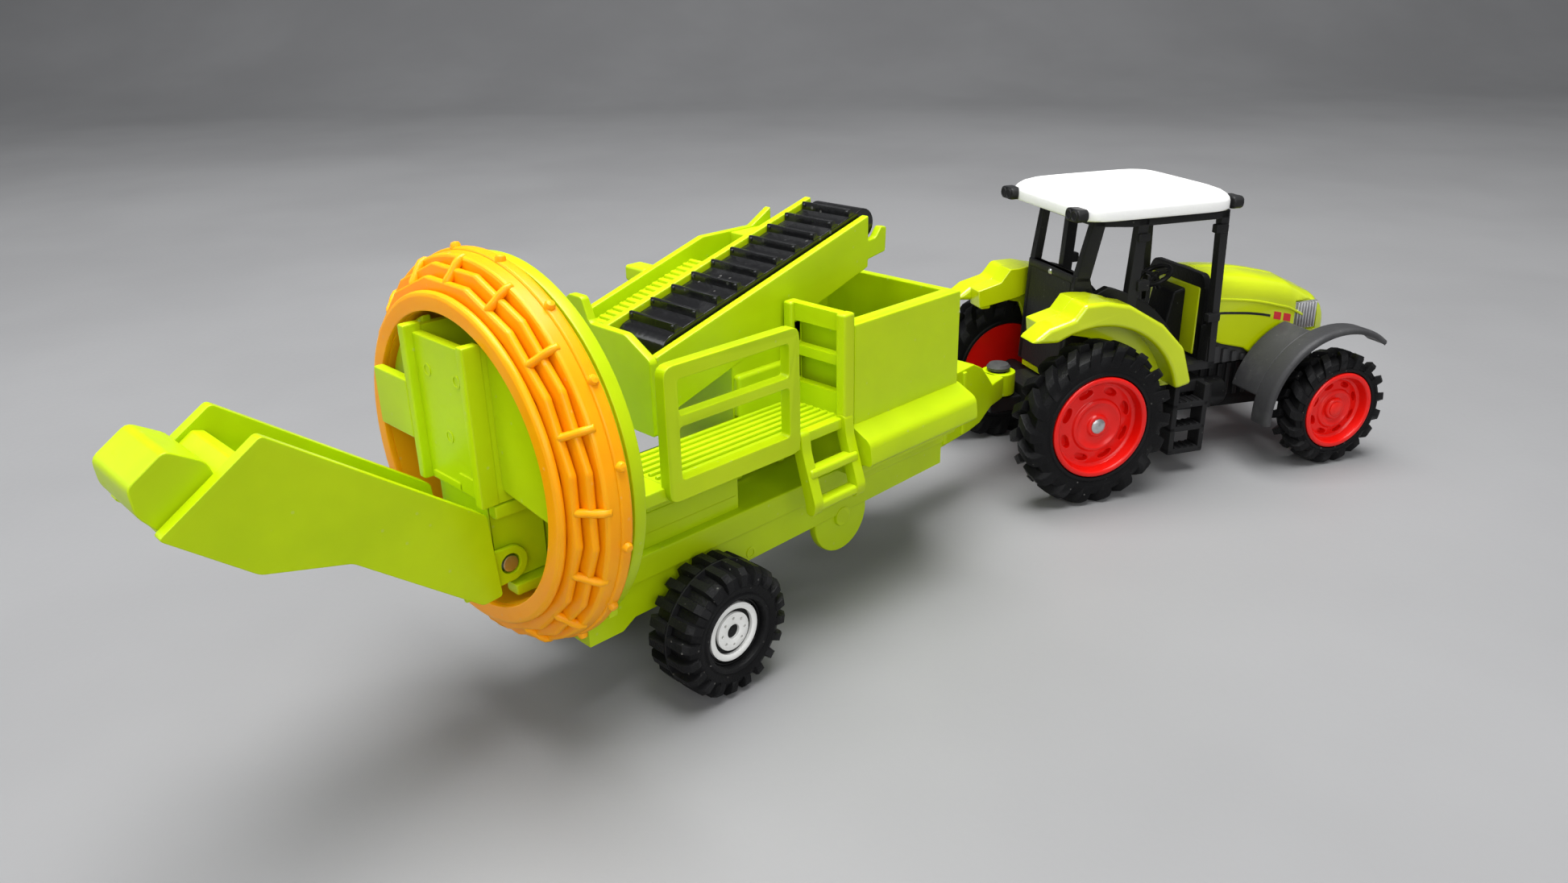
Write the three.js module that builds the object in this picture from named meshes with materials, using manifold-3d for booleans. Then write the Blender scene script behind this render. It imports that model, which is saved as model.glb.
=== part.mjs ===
// A toy farm tractor hitched to a towed crop harvester, as separate moulded and cast pieces.
// Millimetres, +Z up. X runs forward along the harvester, Y to its left. The tractor stands in a
// group of its own that turns on the hitch pin.
import * as THREE from 'three';
import { mergeVertices } from 'three/addons/utils/BufferGeometryUtils.js';
import Module from 'manifold-3d';

const wasm = await Module();
wasm.setup();

// ---------------------------------------------------------------- driving dimensions
const GAP = 0.3;                    // between pieces that touch
const RUN = 0.25;                   // round a shaft that turns
const PLATE = 1.3;                  // moulded wall
const AXLE_R = 1.0;

// Harvester running gear
const TRAIL_WHEEL_R = 8.8;
const TRAIL_TYRE_WIDTH = 8.2;
const TRAIL_HUB_R = 4.4;
const TRAIL_LUGS = 16;

// Harvester chassis, measured from the axle and the ground
const FRAME_REAR_X = -16.0;
const FRAME_HALF_WIDTH = 8.6;
const RAIL_HALF_WIDTH = 9.2;
const SKIRT_LOW_Z = 11.6;
const RAIL_LOW_Z = 16.3;
const RAIL_TOP_Z = 19.8;
const DECK_BOX_TOP_Z = 24.4;
const DRAWBAR_LENGTH = 30.2;        // from the hopper's front wall to the hitch pin
const DRAWBAR_HALF_WIDTH = 3.6;
const EYE_R = 3.0;
const PIN_R = 1.2;

// Hopper
const HOPPER_REAR_X = 26.2;
const HOPPER_LENGTH = 23.0;
const HOPPER_HALF_WIDTH = 13.2;
const HOPPER_TOP_Z = 42.0;
const FENDER_OUT = 3.8;

// Conveyor pair
const BELT_NEAR_Y = -0.5;
const BELT_WIDTH = 9.4;
const BELT_SLOPE = 0.2877;
const BELT_LOW_X = 6.3;
const BELT_TOP_Z = 42.95;           // belt surface above the lower roller
const ROLLER_R = 2.2;
const ROLLER_SPAN = 35.9;           // between the two rollers, along X
const CLEAT_PITCH = 3.65;
const CLEAT_HEIGHT = 1.0;
const SIDE_TROUGH_WIDTH = 6.8;

// Lifting ring and what carries it
const RING_Z = 35.1;
const RING_DEPTH = 6.5;
const RING_OUTER_R = 23.1;
const RING_BAND = 6.0;              // from the bore to the outside
const RING_BARS = 16;
const DISC_THICKNESS = 1.6;

// Rear arm
const ARM_HALF_WIDTH = 6.8;
const ARM_WALL = 1.5;
const ARM_DEPTH = 4.4;              // trough depth below the wall tops

// Side platform
const PLATFORM_REAR_X = -6.7;
const PLATFORM_OUT_Y = -14.0;
const PLATFORM_Z = 30.2;
const RAIL_HEIGHT = 14.4;

// Tractor, measured from the hitch pin
const TRACTOR_HEADING = -27.0;      // degrees from the harvester's centre line
const WHEELBASE = 49.3;
const REAR_WHEEL_R = 14.0;
const REAR_RIM_R = 8.8;
const REAR_TYRE_WIDTH = 6.6;
const FRONT_WHEEL_R = 10.35;
const FRONT_RIM_R = 7.0;
const FRONT_TYRE_WIDTH = 6.2;
const CASTING_HALF_WIDTH = 12.4;    // wheel wall of the casting
const CAB_TAPER = 3.9;              // how much narrower each side is at the rear window
const FLOOR_RISE = 3.0;             // casting floor above the rear axle
const FLOOR_SKIN = 1.2;
const ROOF_RISE = 29.9;             // underside of the roof above the casting floor
const ROOF_THICKNESS = 4.4;
const HOOD_HALF_WIDTH = 7.2;
const HOOD_RISE = 17.4;             // hood top at the cab, above the casting floor

// ---------------------------------------------------------------- colours
const LIME = 0xa9cc18;
const GLOSS_GREEN = 0xc6dc0a;
const ORANGE = 0xf7a416;
const RED = 0xe01e14;
const BLACK = 0x17181a;
const DARK_GREY = 0x3b3d41;
const WHITE = 0xf2f2ef;
const STEEL = 0xb9bcc0;

// ---------------------------------------------------------------- solids
const TAU = Math.PI * 2;

function facingOut(geometry) {
  const bare = geometry.clone();
  bare.deleteAttribute('normal');
  bare.deleteAttribute('uv');
  const welded = mergeVertices(bare, 1e-4);
  const corners = welded.attributes.position;
  const source = welded.index.array;
  const a = new THREE.Vector3();
  const b = new THREE.Vector3();
  const c = new THREE.Vector3();
  const kept = [];
  let volume = 0;
  for (let i = 0; i < source.length; i += 3) {
    const [p, q, r] = [source[i], source[i + 1], source[i + 2]];
    if (p === q || q === r || r === p) continue;
    kept.push(p, q, r);
    a.fromBufferAttribute(corners, p);
    b.fromBufferAttribute(corners, q);
    c.fromBufferAttribute(corners, r);
    volume += a.dot(b.cross(c));
  }
  if (volume < 0) {
    for (let i = 0; i < kept.length; i += 3) {
      [kept[i + 1], kept[i + 2]] = [kept[i + 2], kept[i + 1]];
    }
  }
  welded.setIndex(kept);
  return welded;
}

function toSolid(geometry) {
  const closed = facingOut(geometry);
  return new wasm.Manifold(new wasm.Mesh({
    numProp: 3,
    vertProperties: new Float32Array(closed.attributes.position.array),
    triVerts: new Uint32Array(closed.index.array),
  }));
}

function toGeometry(solid) {
  const mesh = solid.getMesh();
  const geometry = new THREE.BufferGeometry();
  geometry.setAttribute('position', new THREE.BufferAttribute(mesh.vertProperties, 3));
  geometry.setIndex(new THREE.BufferAttribute(mesh.triVerts, 1));
  return geometry;
}

function join(...geometries) {
  return toGeometry(geometries.map(toSolid).reduce((whole, next) => whole.add(next)));
}

function cut(geometry, ...tools) {
  const solid = toSolid(geometry);
  return toGeometry(tools.map(toSolid).reduce((whole, tool) => whole.subtract(tool), solid));
}

function within(geometry, limit) {
  return toGeometry(toSolid(geometry).intersect(toSolid(limit)));
}

// A box from its low and high corner along each axis.
function block([x0, x1], [y0, y1], [z0, z1]) {
  const box = new THREE.BoxGeometry(x1 - x0, y1 - y0, z1 - z0);
  return box.translate((x0 + x1) / 2, (y0 + y1) / 2, (z0 + z1) / 2);
}

function outlineShape(points, holes = []) {
  const shape = new THREE.Shape(points.map(([u, v]) => new THREE.Vector2(u, v)));
  for (const hole of holes) {
    shape.holes.push(new THREE.Path(hole.map(([u, v]) => new THREE.Vector2(u, v))));
  }
  return shape;
}

function slab(points, holes, depth) {
  return new THREE.ExtrudeGeometry(outlineShape(points, holes), { depth, bevelEnabled: false });
}

// An outline in X and Z, as seen from the side, through a range of Y.
function sidePlate(points, [y0, y1], holes = []) {
  return slab(points, holes, y1 - y0).rotateX(Math.PI / 2).translate(0, y1, 0);
}

// An outline in Y and Z, as seen from behind, through a range of X.
function endPlate(points, [x0, x1], holes = []) {
  const turn = new THREE.Matrix4().makeBasis(
    new THREE.Vector3(0, 1, 0),
    new THREE.Vector3(0, 0, 1),
    new THREE.Vector3(1, 0, 0),
  );
  return slab(points, holes, x1 - x0).applyMatrix4(turn).translate(x0, 0, 0);
}

// An outline in X and Y, as seen from above, through a range of Z.
function planPlate(points, [z0, z1]) {
  return slab(points, [], z1 - z0).translate(0, 0, z0);
}

// Round bars along each axis.
function rodX(radius, [x0, x1], [y, z], sides = 24) {
  const rod = new THREE.CylinderGeometry(radius, radius, x1 - x0, sides);
  return rod.rotateZ(-Math.PI / 2).translate((x0 + x1) / 2, y, z);
}

function rodY(radius, [y0, y1], [x, z], sides = 20) {
  const rod = new THREE.CylinderGeometry(radius, radius, y1 - y0, sides);
  return rod.translate(x, (y0 + y1) / 2, z);
}

function rodZ(radius, [z0, z1], [x, y], sides = 20) {
  const rod = new THREE.CylinderGeometry(radius, radius, z1 - z0, sides);
  return rod.rotateX(Math.PI / 2).translate(x, y, (z0 + z1) / 2);
}

// A turned piece about an axle along Y; the profile is radius against distance along the axle.
function turned(profile, sides) {
  return new THREE.LatheGeometry(profile.map(([r, y]) => new THREE.Vector2(r, y)), sides);
}

function arcPoints([cx, cz], radius, fromDegrees, toDegrees, steps) {
  const points = [];
  for (let i = 0; i <= steps; i += 1) {
    const angle = THREE.MathUtils.degToRad(fromDegrees + (toDegrees - fromDegrees) * i / steps);
    points.push([cx + radius * Math.cos(angle), cz + radius * Math.sin(angle)]);
  }
  return points;
}

const both = ([low, high], side) => (side > 0 ? [low, high] : [-high, -low]);
const sideWord = (side) => (side > 0 ? 'left' : 'right');
const SIDES = [1, -1];

// ---------------------------------------------------------------- groups
const machine = new THREE.Group();
const harvester = new THREE.Group();
const tractor = new THREE.Group();
machine.add(harvester, tractor);

function addPiece(group, name, geometry, color, roughness, metalness = 0) {
  const closed = facingOut(geometry);
  closed.computeVertexNormals();
  const finish = new THREE.MeshStandardMaterial({ color, roughness, metalness });
  const mesh = new THREE.Mesh(closed, finish);
  mesh.name = name;
  group.add(mesh);
  return mesh;
}

// ---------------------------------------------------------------- wheels
// The outline of a lugged tyre seen along its axle, with one lug's flat top at the very bottom.
function lugOutline(radius, depth, count, turn = 0) {
  const points = [];
  const pitch = TAU / count;
  const tipHalf = pitch * 0.24;
  const rootHalf = pitch * 0.31;
  for (let i = 0; i < count; i += 1) {
    const middle = -Math.PI / 2 + i * pitch + turn;
    const tip = radius / Math.cos(tipHalf);
    const root = radius - depth;
    const corners = [[root, -rootHalf], [tip, -tipHalf], [tip, tipHalf], [root, rootHalf]];
    for (const [r, offset] of corners) {
      points.push([r * Math.cos(middle + offset), r * Math.sin(middle + offset)]);
    }
  }
  return points;
}

// A tyre with bars that lean from each face to the middle of the tread.
function barTyre(radius, rimRadius, width, count, lean) {
  const bore = arcPoints([0, 0], rimRadius, 0, 345, 23);
  const shape = outlineShape(lugOutline(radius * 0.998, radius * 0.1, count), [bore]);
  const tyre = new THREE.ExtrudeGeometry(shape, { depth: width, steps: 2, bevelEnabled: false });
  const corners = tyre.attributes.position;
  const corner = new THREE.Vector3();
  const up = new THREE.Vector3(0, 0, 1);
  for (let i = 0; i < corners.count; i += 1) {
    corner.fromBufferAttribute(corners, i);
    const onMiddle = Math.abs(corner.z - width / 2) < width / 10;
    if (onMiddle && Math.hypot(corner.x, corner.y) > (radius + rimRadius) / 2) {
      corner.applyAxisAngle(up, lean);
      corners.setXYZ(i, corner.x, corner.y, corner.z);
    }
  }
  return tyre.rotateX(Math.PI / 2).translate(0, width / 2, 0);
}

// A tyre with two rows of square blocks, half a pitch apart.
function blockTyre(radius, rimRadius, width, count) {
  const depth = radius * 0.09;
  const overlap = 0.1;
  const nearRow = sidePlate(lugOutline(radius, depth, count), [-width / 2, overlap]);
  const farRow = sidePlate(lugOutline(radius, depth, count, Math.PI / count), [-overlap, width / 2]);
  return cut(join(nearRow, farRow), rodY(rimRadius, [-width, width], [0, 0], 28));
}

// A dished rim that opens towards +Y.
function dishedRim(radius, width, boreRadius) {
  const half = width / 2;
  return turned([
    [boreRadius, -half],
    [radius, -half],
    [radius, half],
    [radius * 0.88, half],
    [radius * 0.80, half * 0.35],
    [radius * 0.56, half * 0.25],
    [radius * 0.50, half * 0.60],
    [boreRadius, half * 0.60],
    [boreRadius, -half],
  ], 20);
}

function addWheelPair(group, name, set) {
  const faceY = set.track / 2;
  const middleY = faceY - set.width / 2;
  const boreRadius = AXLE_R + GAP;
  for (const side of SIDES) {
    const tyre = addPiece(group, `${name}_tyre_${sideWord(side)}`, set.tyre(), BLACK, 0.75);
    tyre.position.set(set.x, side * middleY, set.radius);
    const rim = addPiece(group, `${name}_rim_${sideWord(side)}`, set.rim(boreRadius), set.rimColor, 0.35);
    rim.position.set(set.x, side * middleY, set.radius);
    rim.rotation.x = side > 0 ? 0 : Math.PI;
  }
  const headReach = middleY + set.headOut;
  const axle = join(
    rodY(AXLE_R, [-headReach, headReach], [0, 0], 16),
    rodY(AXLE_R * 1.3, [headReach, headReach + 0.5], [0, 0], 16),
    rodY(AXLE_R * 1.3, [-headReach - 0.5, -headReach], [0, 0], 16),
  );
  const bar = addPiece(group, `${name}_axle`, axle, STEEL, 0.3, 0.9);
  bar.position.set(set.x, 0, set.radius);
}

// ---------------------------------------------------------------- harvester
const TRAIL_TRACK = 2 * (RAIL_HALF_WIDTH + GAP + TRAIL_TYRE_WIDTH);   // over the outer faces
const HOPPER_FRONT_X = HOPPER_REAR_X + HOPPER_LENGTH;
const DECK_BOX_FRONT_X = HOPPER_REAR_X - 16.7;
const STEP_FRONT_X = HOPPER_REAR_X - 1.2;
const FRAME_FRONT_X = HOPPER_FRONT_X + 2.8;
const HITCH_X = HOPPER_FRONT_X + DRAWBAR_LENGTH;
const EYE_Z = [REAR_WHEEL_R + 1.0, REAR_WHEEL_R + 5.0];
const RING_INNER_R = RING_OUTER_R - RING_BAND;
const RING_FRONT_X = FRAME_REAR_X - DISC_THICKNESS - 1.1;
const RING_REAR_X = RING_FRONT_X - RING_DEPTH;
const DISC_R = RING_OUTER_R - 0.9;
const ARM_PIVOT = [RING_REAR_X + 1.6, RING_Z - RING_INNER_R * 0.65];  // x, z

function harvesterChassis() {
  const earZ = TRAIL_WHEEL_R - AXLE_R - RUN - 1.4;
  const deckBox = block(
    [FRAME_REAR_X, DECK_BOX_FRONT_X],
    [-FRAME_HALF_WIDTH, FRAME_HALF_WIDTH],
    [RAIL_TOP_Z - 1, DECK_BOX_TOP_Z],
  );
  const rails = block(
    [FRAME_REAR_X, FRAME_FRONT_X],
    [-RAIL_HALF_WIDTH, RAIL_HALF_WIDTH],
    [RAIL_LOW_Z, RAIL_TOP_Z],
  );
  const skirtOutline = [
    [FRAME_REAR_X, RAIL_LOW_Z + 0.5],
    [FRAME_REAR_X, SKIRT_LOW_Z - 1.2],
    [FRAME_REAR_X + 5, SKIRT_LOW_Z - 1.2],
    [FRAME_REAR_X + 7, SKIRT_LOW_Z],
    [-3.2, SKIRT_LOW_Z],
    [-3.2, earZ],
    [3.2, earZ],
    [3.2, SKIRT_LOW_Z],
    [FRAME_FRONT_X, SKIRT_LOW_Z + 1.0],
    [FRAME_FRONT_X, RAIL_LOW_Z + 0.5],
  ];
  const skirt = sidePlate(skirtOutline, [-FRAME_HALF_WIDTH, FRAME_HALF_WIDTH]);
  const hollow = block(
    [FRAME_REAR_X + PLATE, FRAME_FRONT_X - PLATE],
    [PLATE - FRAME_HALF_WIDTH, FRAME_HALF_WIDTH - PLATE],
    [0, RAIL_TOP_Z - PLATE],
  );
  const shell = cut(join(deckBox, rails, skirt), hollow);

  // Round moulded discs hang below the skirt on both sides.
  const discX = HOPPER_REAR_X + 2.8;
  const discY = FRAME_HALF_WIDTH - PLATE;
  const discs = SIDES.map((side) => (
    rodY(5.5, both([discY - 0.4, discY + 1.0], side), [discX, SKIRT_LOW_Z], 28)
  ));

  // The drawbar steps down from the frame to a flat eye round the hitch pin.
  const wide = DRAWBAR_HALF_WIDTH;
  const root = FRAME_FRONT_X - PLATE;
  const drawbarSide = [
    [root, SKIRT_LOW_Z + 1.0],
    [HITCH_X - 10.5, SKIRT_LOW_Z + 1.0],
    [HITCH_X - 5.8, EYE_Z[0]],
    [HITCH_X - 0.5, EYE_Z[0]],
    [HITCH_X - 0.5, EYE_Z[1]],
    [HITCH_X - 6.6, EYE_Z[1]],
    [HITCH_X - 9.6, EYE_Z[1] + 3.6],
    [HITCH_X - 13.0, DECK_BOX_TOP_Z],
    [root, DECK_BOX_TOP_Z],
  ];
  const drawbarPlan = [
    [root, -wide - 2.2],
    [HITCH_X - 14, -wide - 0.6],
    [HITCH_X - 8, -wide],
    [HITCH_X - 0.5, -EYE_R + 0.3],
    [HITCH_X - 0.5, EYE_R - 0.3],
    [HITCH_X - 8, wide],
    [HITCH_X - 14, wide + 0.6],
    [root, wide + 2.2],
  ];
  const drawbar = within(
    sidePlate(drawbarSide, [-wide * 3, wide * 3]),
    planPlate(drawbarPlan, [0, DECK_BOX_TOP_Z * 2]),
  );
  const eye = rodZ(EYE_R, EYE_Z, [HITCH_X, 0], 28);
  const eyeBore = rodZ(PIN_R + RUN, [0, DECK_BOX_TOP_Z * 2], [HITCH_X, 0], 20);
  const axleBore = rodY(AXLE_R + RUN, [-TRAIL_TRACK, TRAIL_TRACK], [0, TRAIL_WHEEL_R], 20);
  const whole = join(shell, ...discs, drawbar, eye);
  return cut(whole, eyeBore, axleBore);
}

function hopper() {
  const lowZ = RAIL_TOP_Z + GAP;
  const outside = block(
    [HOPPER_REAR_X, HOPPER_FRONT_X],
    [-HOPPER_HALF_WIDTH, HOPPER_HALF_WIDTH],
    [lowZ, HOPPER_TOP_Z],
  );
  const inside = block(
    [HOPPER_REAR_X + PLATE, HOPPER_FRONT_X - PLATE],
    [PLATE - HOPPER_HALF_WIDTH, HOPPER_HALF_WIDTH - PLATE],
    [lowZ + PLATE, HOPPER_TOP_Z + 5],
  );
  const fenders = SIDES.map((side) => {
    const foot = HOPPER_HALF_WIDTH - 0.5;
    const out = HOPPER_HALF_WIDTH + FENDER_OUT;
    const section = [
      [foot, lowZ + 2.7],
      [out, lowZ + 2.7],
      [out - 0.4, lowZ + 6.2],
      [foot + 0.5, lowZ + 7.9],
      [foot, lowZ + 7.9],
    ];
    return endPlate(
      section.map(([y, z]) => [side * y, z]),
      [STEP_FRONT_X + 2 * GAP, HOPPER_FRONT_X + GAP],
    );
  });
  // The conveyor pair passes over the rear and left walls through a sloping notch.
  const notchX = [HOPPER_REAR_X - 1, HOPPER_FRONT_X - 2 * PLATE];
  const notch = sidePlate([
    [notchX[0], conveyorLowZ(notchX[0]) - 2 * GAP],
    [notchX[1], conveyorLowZ(notchX[1]) - 2 * GAP],
    [notchX[1], HOPPER_TOP_Z + HOPPER_LENGTH],
    [notchX[0], HOPPER_TOP_Z + HOPPER_LENGTH],
  ], [conveyorNearY - 2 * GAP, sideTroughFarY + 2 * GAP]);
  return cut(join(outside, ...fenders), inside, notch);
}

// ---- conveyor
const beltFarY = BELT_NEAR_Y + BELT_WIDTH;
const conveyorNearY = BELT_NEAR_Y - GAP - PLATE;
const conveyorFarY = beltFarY + GAP + PLATE;
const sideTroughFarY = conveyorFarY + SIDE_TROUGH_WIDTH;
const BELT_HIGH_X = BELT_LOW_X + ROLLER_SPAN;
const beltTopZ = (x) => BELT_TOP_Z + (x - BELT_LOW_X) * BELT_SLOPE;
const beltTilt = Math.atan(BELT_SLOPE);
const rollerZ = (x) => beltTopZ(x) - ROLLER_R / Math.cos(beltTilt);
const beltLowZ = (x) => beltTopZ(x) - 2 * ROLLER_R / Math.cos(beltTilt);
const conveyorLowZ = (x) => beltLowZ(x) - 3.9;

function conveyorBelt() {
  const tilt = THREE.MathUtils.radToDeg(beltTilt);
  const outline = [
    ...arcPoints([BELT_LOW_X, rollerZ(BELT_LOW_X)], ROLLER_R, 90 + tilt, 270 + tilt, 8),
    ...arcPoints([BELT_HIGH_X, rollerZ(BELT_HIGH_X)], ROLLER_R, -90 + tilt, 90 + tilt, 8),
  ];
  const width = [BELT_NEAR_Y, beltFarY];
  const loop = sidePlate(outline, width);
  const count = Math.floor((ROLLER_SPAN - 1) / CLEAT_PITCH) + 1;
  const cleats = [];
  for (let i = 0; i < count; i += 1) {
    const x = BELT_LOW_X + 0.4 + i * CLEAT_PITCH;
    const foot = beltTopZ(x) - 0.4;
    cleats.push(sidePlate([
      [x - 0.45, foot],
      [x + 0.85, foot],
      [x + 0.1, beltTopZ(x) + CLEAT_HEIGHT],
      [x - 0.45, beltTopZ(x) + CLEAT_HEIGHT],
    ], width));
  }
  return join(loop, ...cleats);
}

function conveyorFrame() {
  const rearX = BELT_LOW_X - ROLLER_R - GAP - PLATE - 0.6;
  const endX = BELT_HIGH_X - 0.6;
  const wallTop = (x) => beltTopZ(x) - 0.6;
  const wall = [
    [rearX, conveyorLowZ(rearX) - 0.6],
    [rearX, wallTop(rearX)],
    [endX, wallTop(endX)],
    [endX, wallTop(endX) - 3.6],
    [endX + 1.6, wallTop(endX) - 3.4],
    [endX + 2.8, wallTop(endX) - 2.0],
    [endX + 4.0, wallTop(endX) - 2.2],
    [endX + 3.8, wallTop(endX) - 5.8],
    [endX, wallTop(endX) - 6.4],
    [endX, conveyorLowZ(endX) + 0.4],
  ];
  const nearWall = sidePlate(wall, [conveyorNearY, conveyorNearY + PLATE]);
  const farWall = sidePlate(wall, [conveyorFarY - PLATE, conveyorFarY]);
  const floorTop = (x) => beltLowZ(x) - GAP;
  const floor = sidePlate([
    [rearX, conveyorLowZ(rearX) - 0.6],
    [rearX, floorTop(rearX)],
    [endX - 0.4, floorTop(endX - 0.4)],
    [endX - 0.4, conveyorLowZ(endX) + 0.4],
  ], [conveyorNearY + 0.2, conveyorFarY - 0.2]);

  // A plate closes the low end; its outer corners are cut off.
  const capZ = beltTopZ(BELT_LOW_X) + 0.4;
  const lowEnd = endPlate([
    [conveyorNearY, conveyorLowZ(rearX) - 2.6],
    [sideTroughFarY, conveyorLowZ(rearX) - 2.6],
    [sideTroughFarY, capZ + 0.6],
    [sideTroughFarY - 3, capZ + 3.2],
    [conveyorFarY + 1.0, capZ + 3.2],
    [conveyorFarY - 0.4, capZ],
    [conveyorNearY + 4.9, capZ],
    [conveyorNearY, capZ - 2.6],
  ], [rearX - PLATE + 0.2, rearX + 0.2]);

  // The second, ribbed trough lies along the far side and ends in an open box and a flat top.
  const flatX = [BELT_LOW_X + 19.7, BELT_LOW_X + 29.5];
  const flatZ = wallTop(flatX[0]) + 1.5;
  const boxX = [BELT_LOW_X + 17.4, BELT_LOW_X + 25.0];
  const flatFrontX = BELT_HIGH_X - 2.4;
  const troughWall = [
    [rearX, conveyorLowZ(rearX) - 0.6],
    [rearX, wallTop(rearX) + 1.0],
    [flatX[0], flatZ],
    [flatX[1], flatZ],
    [flatFrontX, wallTop(flatFrontX) - 0.2],
    [flatFrontX, conveyorLowZ(flatFrontX) + 0.4],
  ];
  const farSide = sidePlate(troughWall, [sideTroughFarY - PLATE, sideTroughFarY]);
  const troughTop = (x) => wallTop(x) - 0.6;
  const boxFloorZ = conveyorLowZ(boxX[1]) + PLATE + 0.4;
  const troughFloor = sidePlate([
    [rearX, conveyorLowZ(rearX) - 0.6],
    [rearX, troughTop(rearX)],
    [boxX[0], troughTop(boxX[0])],
    [boxX[0], boxFloorZ],
    [boxX[1], boxFloorZ],
    [boxX[1], flatZ - 0.2],
    [flatFrontX, flatZ - 0.2],
    [flatFrontX, conveyorLowZ(flatFrontX) + 0.4],
  ], [conveyorFarY - 0.2, sideTroughFarY - PLATE + 0.2]);
  const ribs = [];
  for (let x = rearX + 2.5; x < boxX[0] - 1.5; x += 1.9) {
    ribs.push(sidePlate([
      [x, troughTop(x) - 0.3],
      [x + 0.8, troughTop(x + 0.8) - 0.3],
      [x + 0.8, troughTop(x + 0.8) + 0.35],
      [x, troughTop(x) + 0.35],
    ], [conveyorFarY + 0.6, sideTroughFarY - PLATE - 0.6]));
  }
  const lugX = BELT_LOW_X + 9.2;
  const lug = block([lugX, lugX + 3.0], [sideTroughFarY - 0.4, sideTroughFarY + 4.2], [
    wallTop(lugX) - 0.9,
    wallTop(lugX) + 1.5,
  ]);

  // A box-shaped foot carries the pair on the chassis rails.
  const footX = [HOPPER_REAR_X - 11.8, HOPPER_REAR_X - 2.2];
  const foot = sidePlate([
    [footX[0], RAIL_TOP_Z + GAP],
    [footX[1], RAIL_TOP_Z + GAP],
    [footX[1], conveyorLowZ(footX[1]) + 0.5],
    [footX[0], conveyorLowZ(footX[0]) + 0.5],
  ], [conveyorNearY + 0.1, conveyorFarY - 0.1]);
  const footHollow = block(
    [footX[0] + PLATE, footX[1] - PLATE],
    [conveyorNearY - 1, conveyorFarY + 1],
    [RAIL_TOP_Z - 1, PLATFORM_Z - 3.5],
  );
  const carrier = cut(foot, footHollow);
  return join(nearWall, farWall, floor, lowEnd, farSide, troughFloor, ...ribs, lug, carrier);
}

// ---- lifting ring
function liftingRing() {
  const half = RING_DEPTH / 2;
  const skin = 1.5;
  const rearR = RING_INNER_R + 2.2;
  const shell = turned([
    [RING_INNER_R, -half],
    [rearR, -half],
    [RING_OUTER_R - 0.5, -half + RING_DEPTH * 0.52],
    [RING_OUTER_R, -half + RING_DEPTH * 0.6],
    [RING_OUTER_R, half],
    [RING_OUTER_R - skin, half],
    [rearR - 0.2, -half + skin],
    [RING_INNER_R, -half + skin],
    [RING_INNER_R, -half],
  ], 40);
  const bars = [];
  const lean = Math.atan2(RING_OUTER_R - 0.5 - rearR, RING_DEPTH * 0.52);
  for (let i = 0; i < RING_BARS; i += 1) {
    const bar = new THREE.BoxGeometry(1.0, RING_DEPTH * 0.6, 0.9);
    bar.rotateZ(-lean);
    bar.translate((rearR + RING_OUTER_R) / 2 - 0.35, -half + RING_DEPTH * 0.27, 0);
    bar.rotateY(TAU * i / RING_BARS);
    bars.push(bar);
    const knob = new THREE.BoxGeometry(1.2, 1.1, 1.1);
    knob.translate(RING_OUTER_R - 0.1, half - 0.9, 0);
    knob.rotateY(TAU * (i + 0.5) / RING_BARS);
    bars.push(knob);
  }
  // The profile's positive end becomes the ring's front face.
  return join(shell, ...bars).rotateZ(-Math.PI / 2);
}

function backingDisc() {
  const frontX = FRAME_REAR_X - GAP;
  const rearX = frontX - DISC_THICKNESS;
  const disc = rodX(DISC_R, [rearX, frontX], [0, RING_Z], 48);
  const earY = [DISC_R * 0.56, DISC_R * 0.70];
  const earZ = [RING_Z - DISC_R * 0.77, RING_Z - DISC_R * 0.45];
  const ears = SIDES.map((side) => block([rearX + 0.2, frontX], both(earY, side), earZ));
  return join(disc, ...ears);
}

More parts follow.
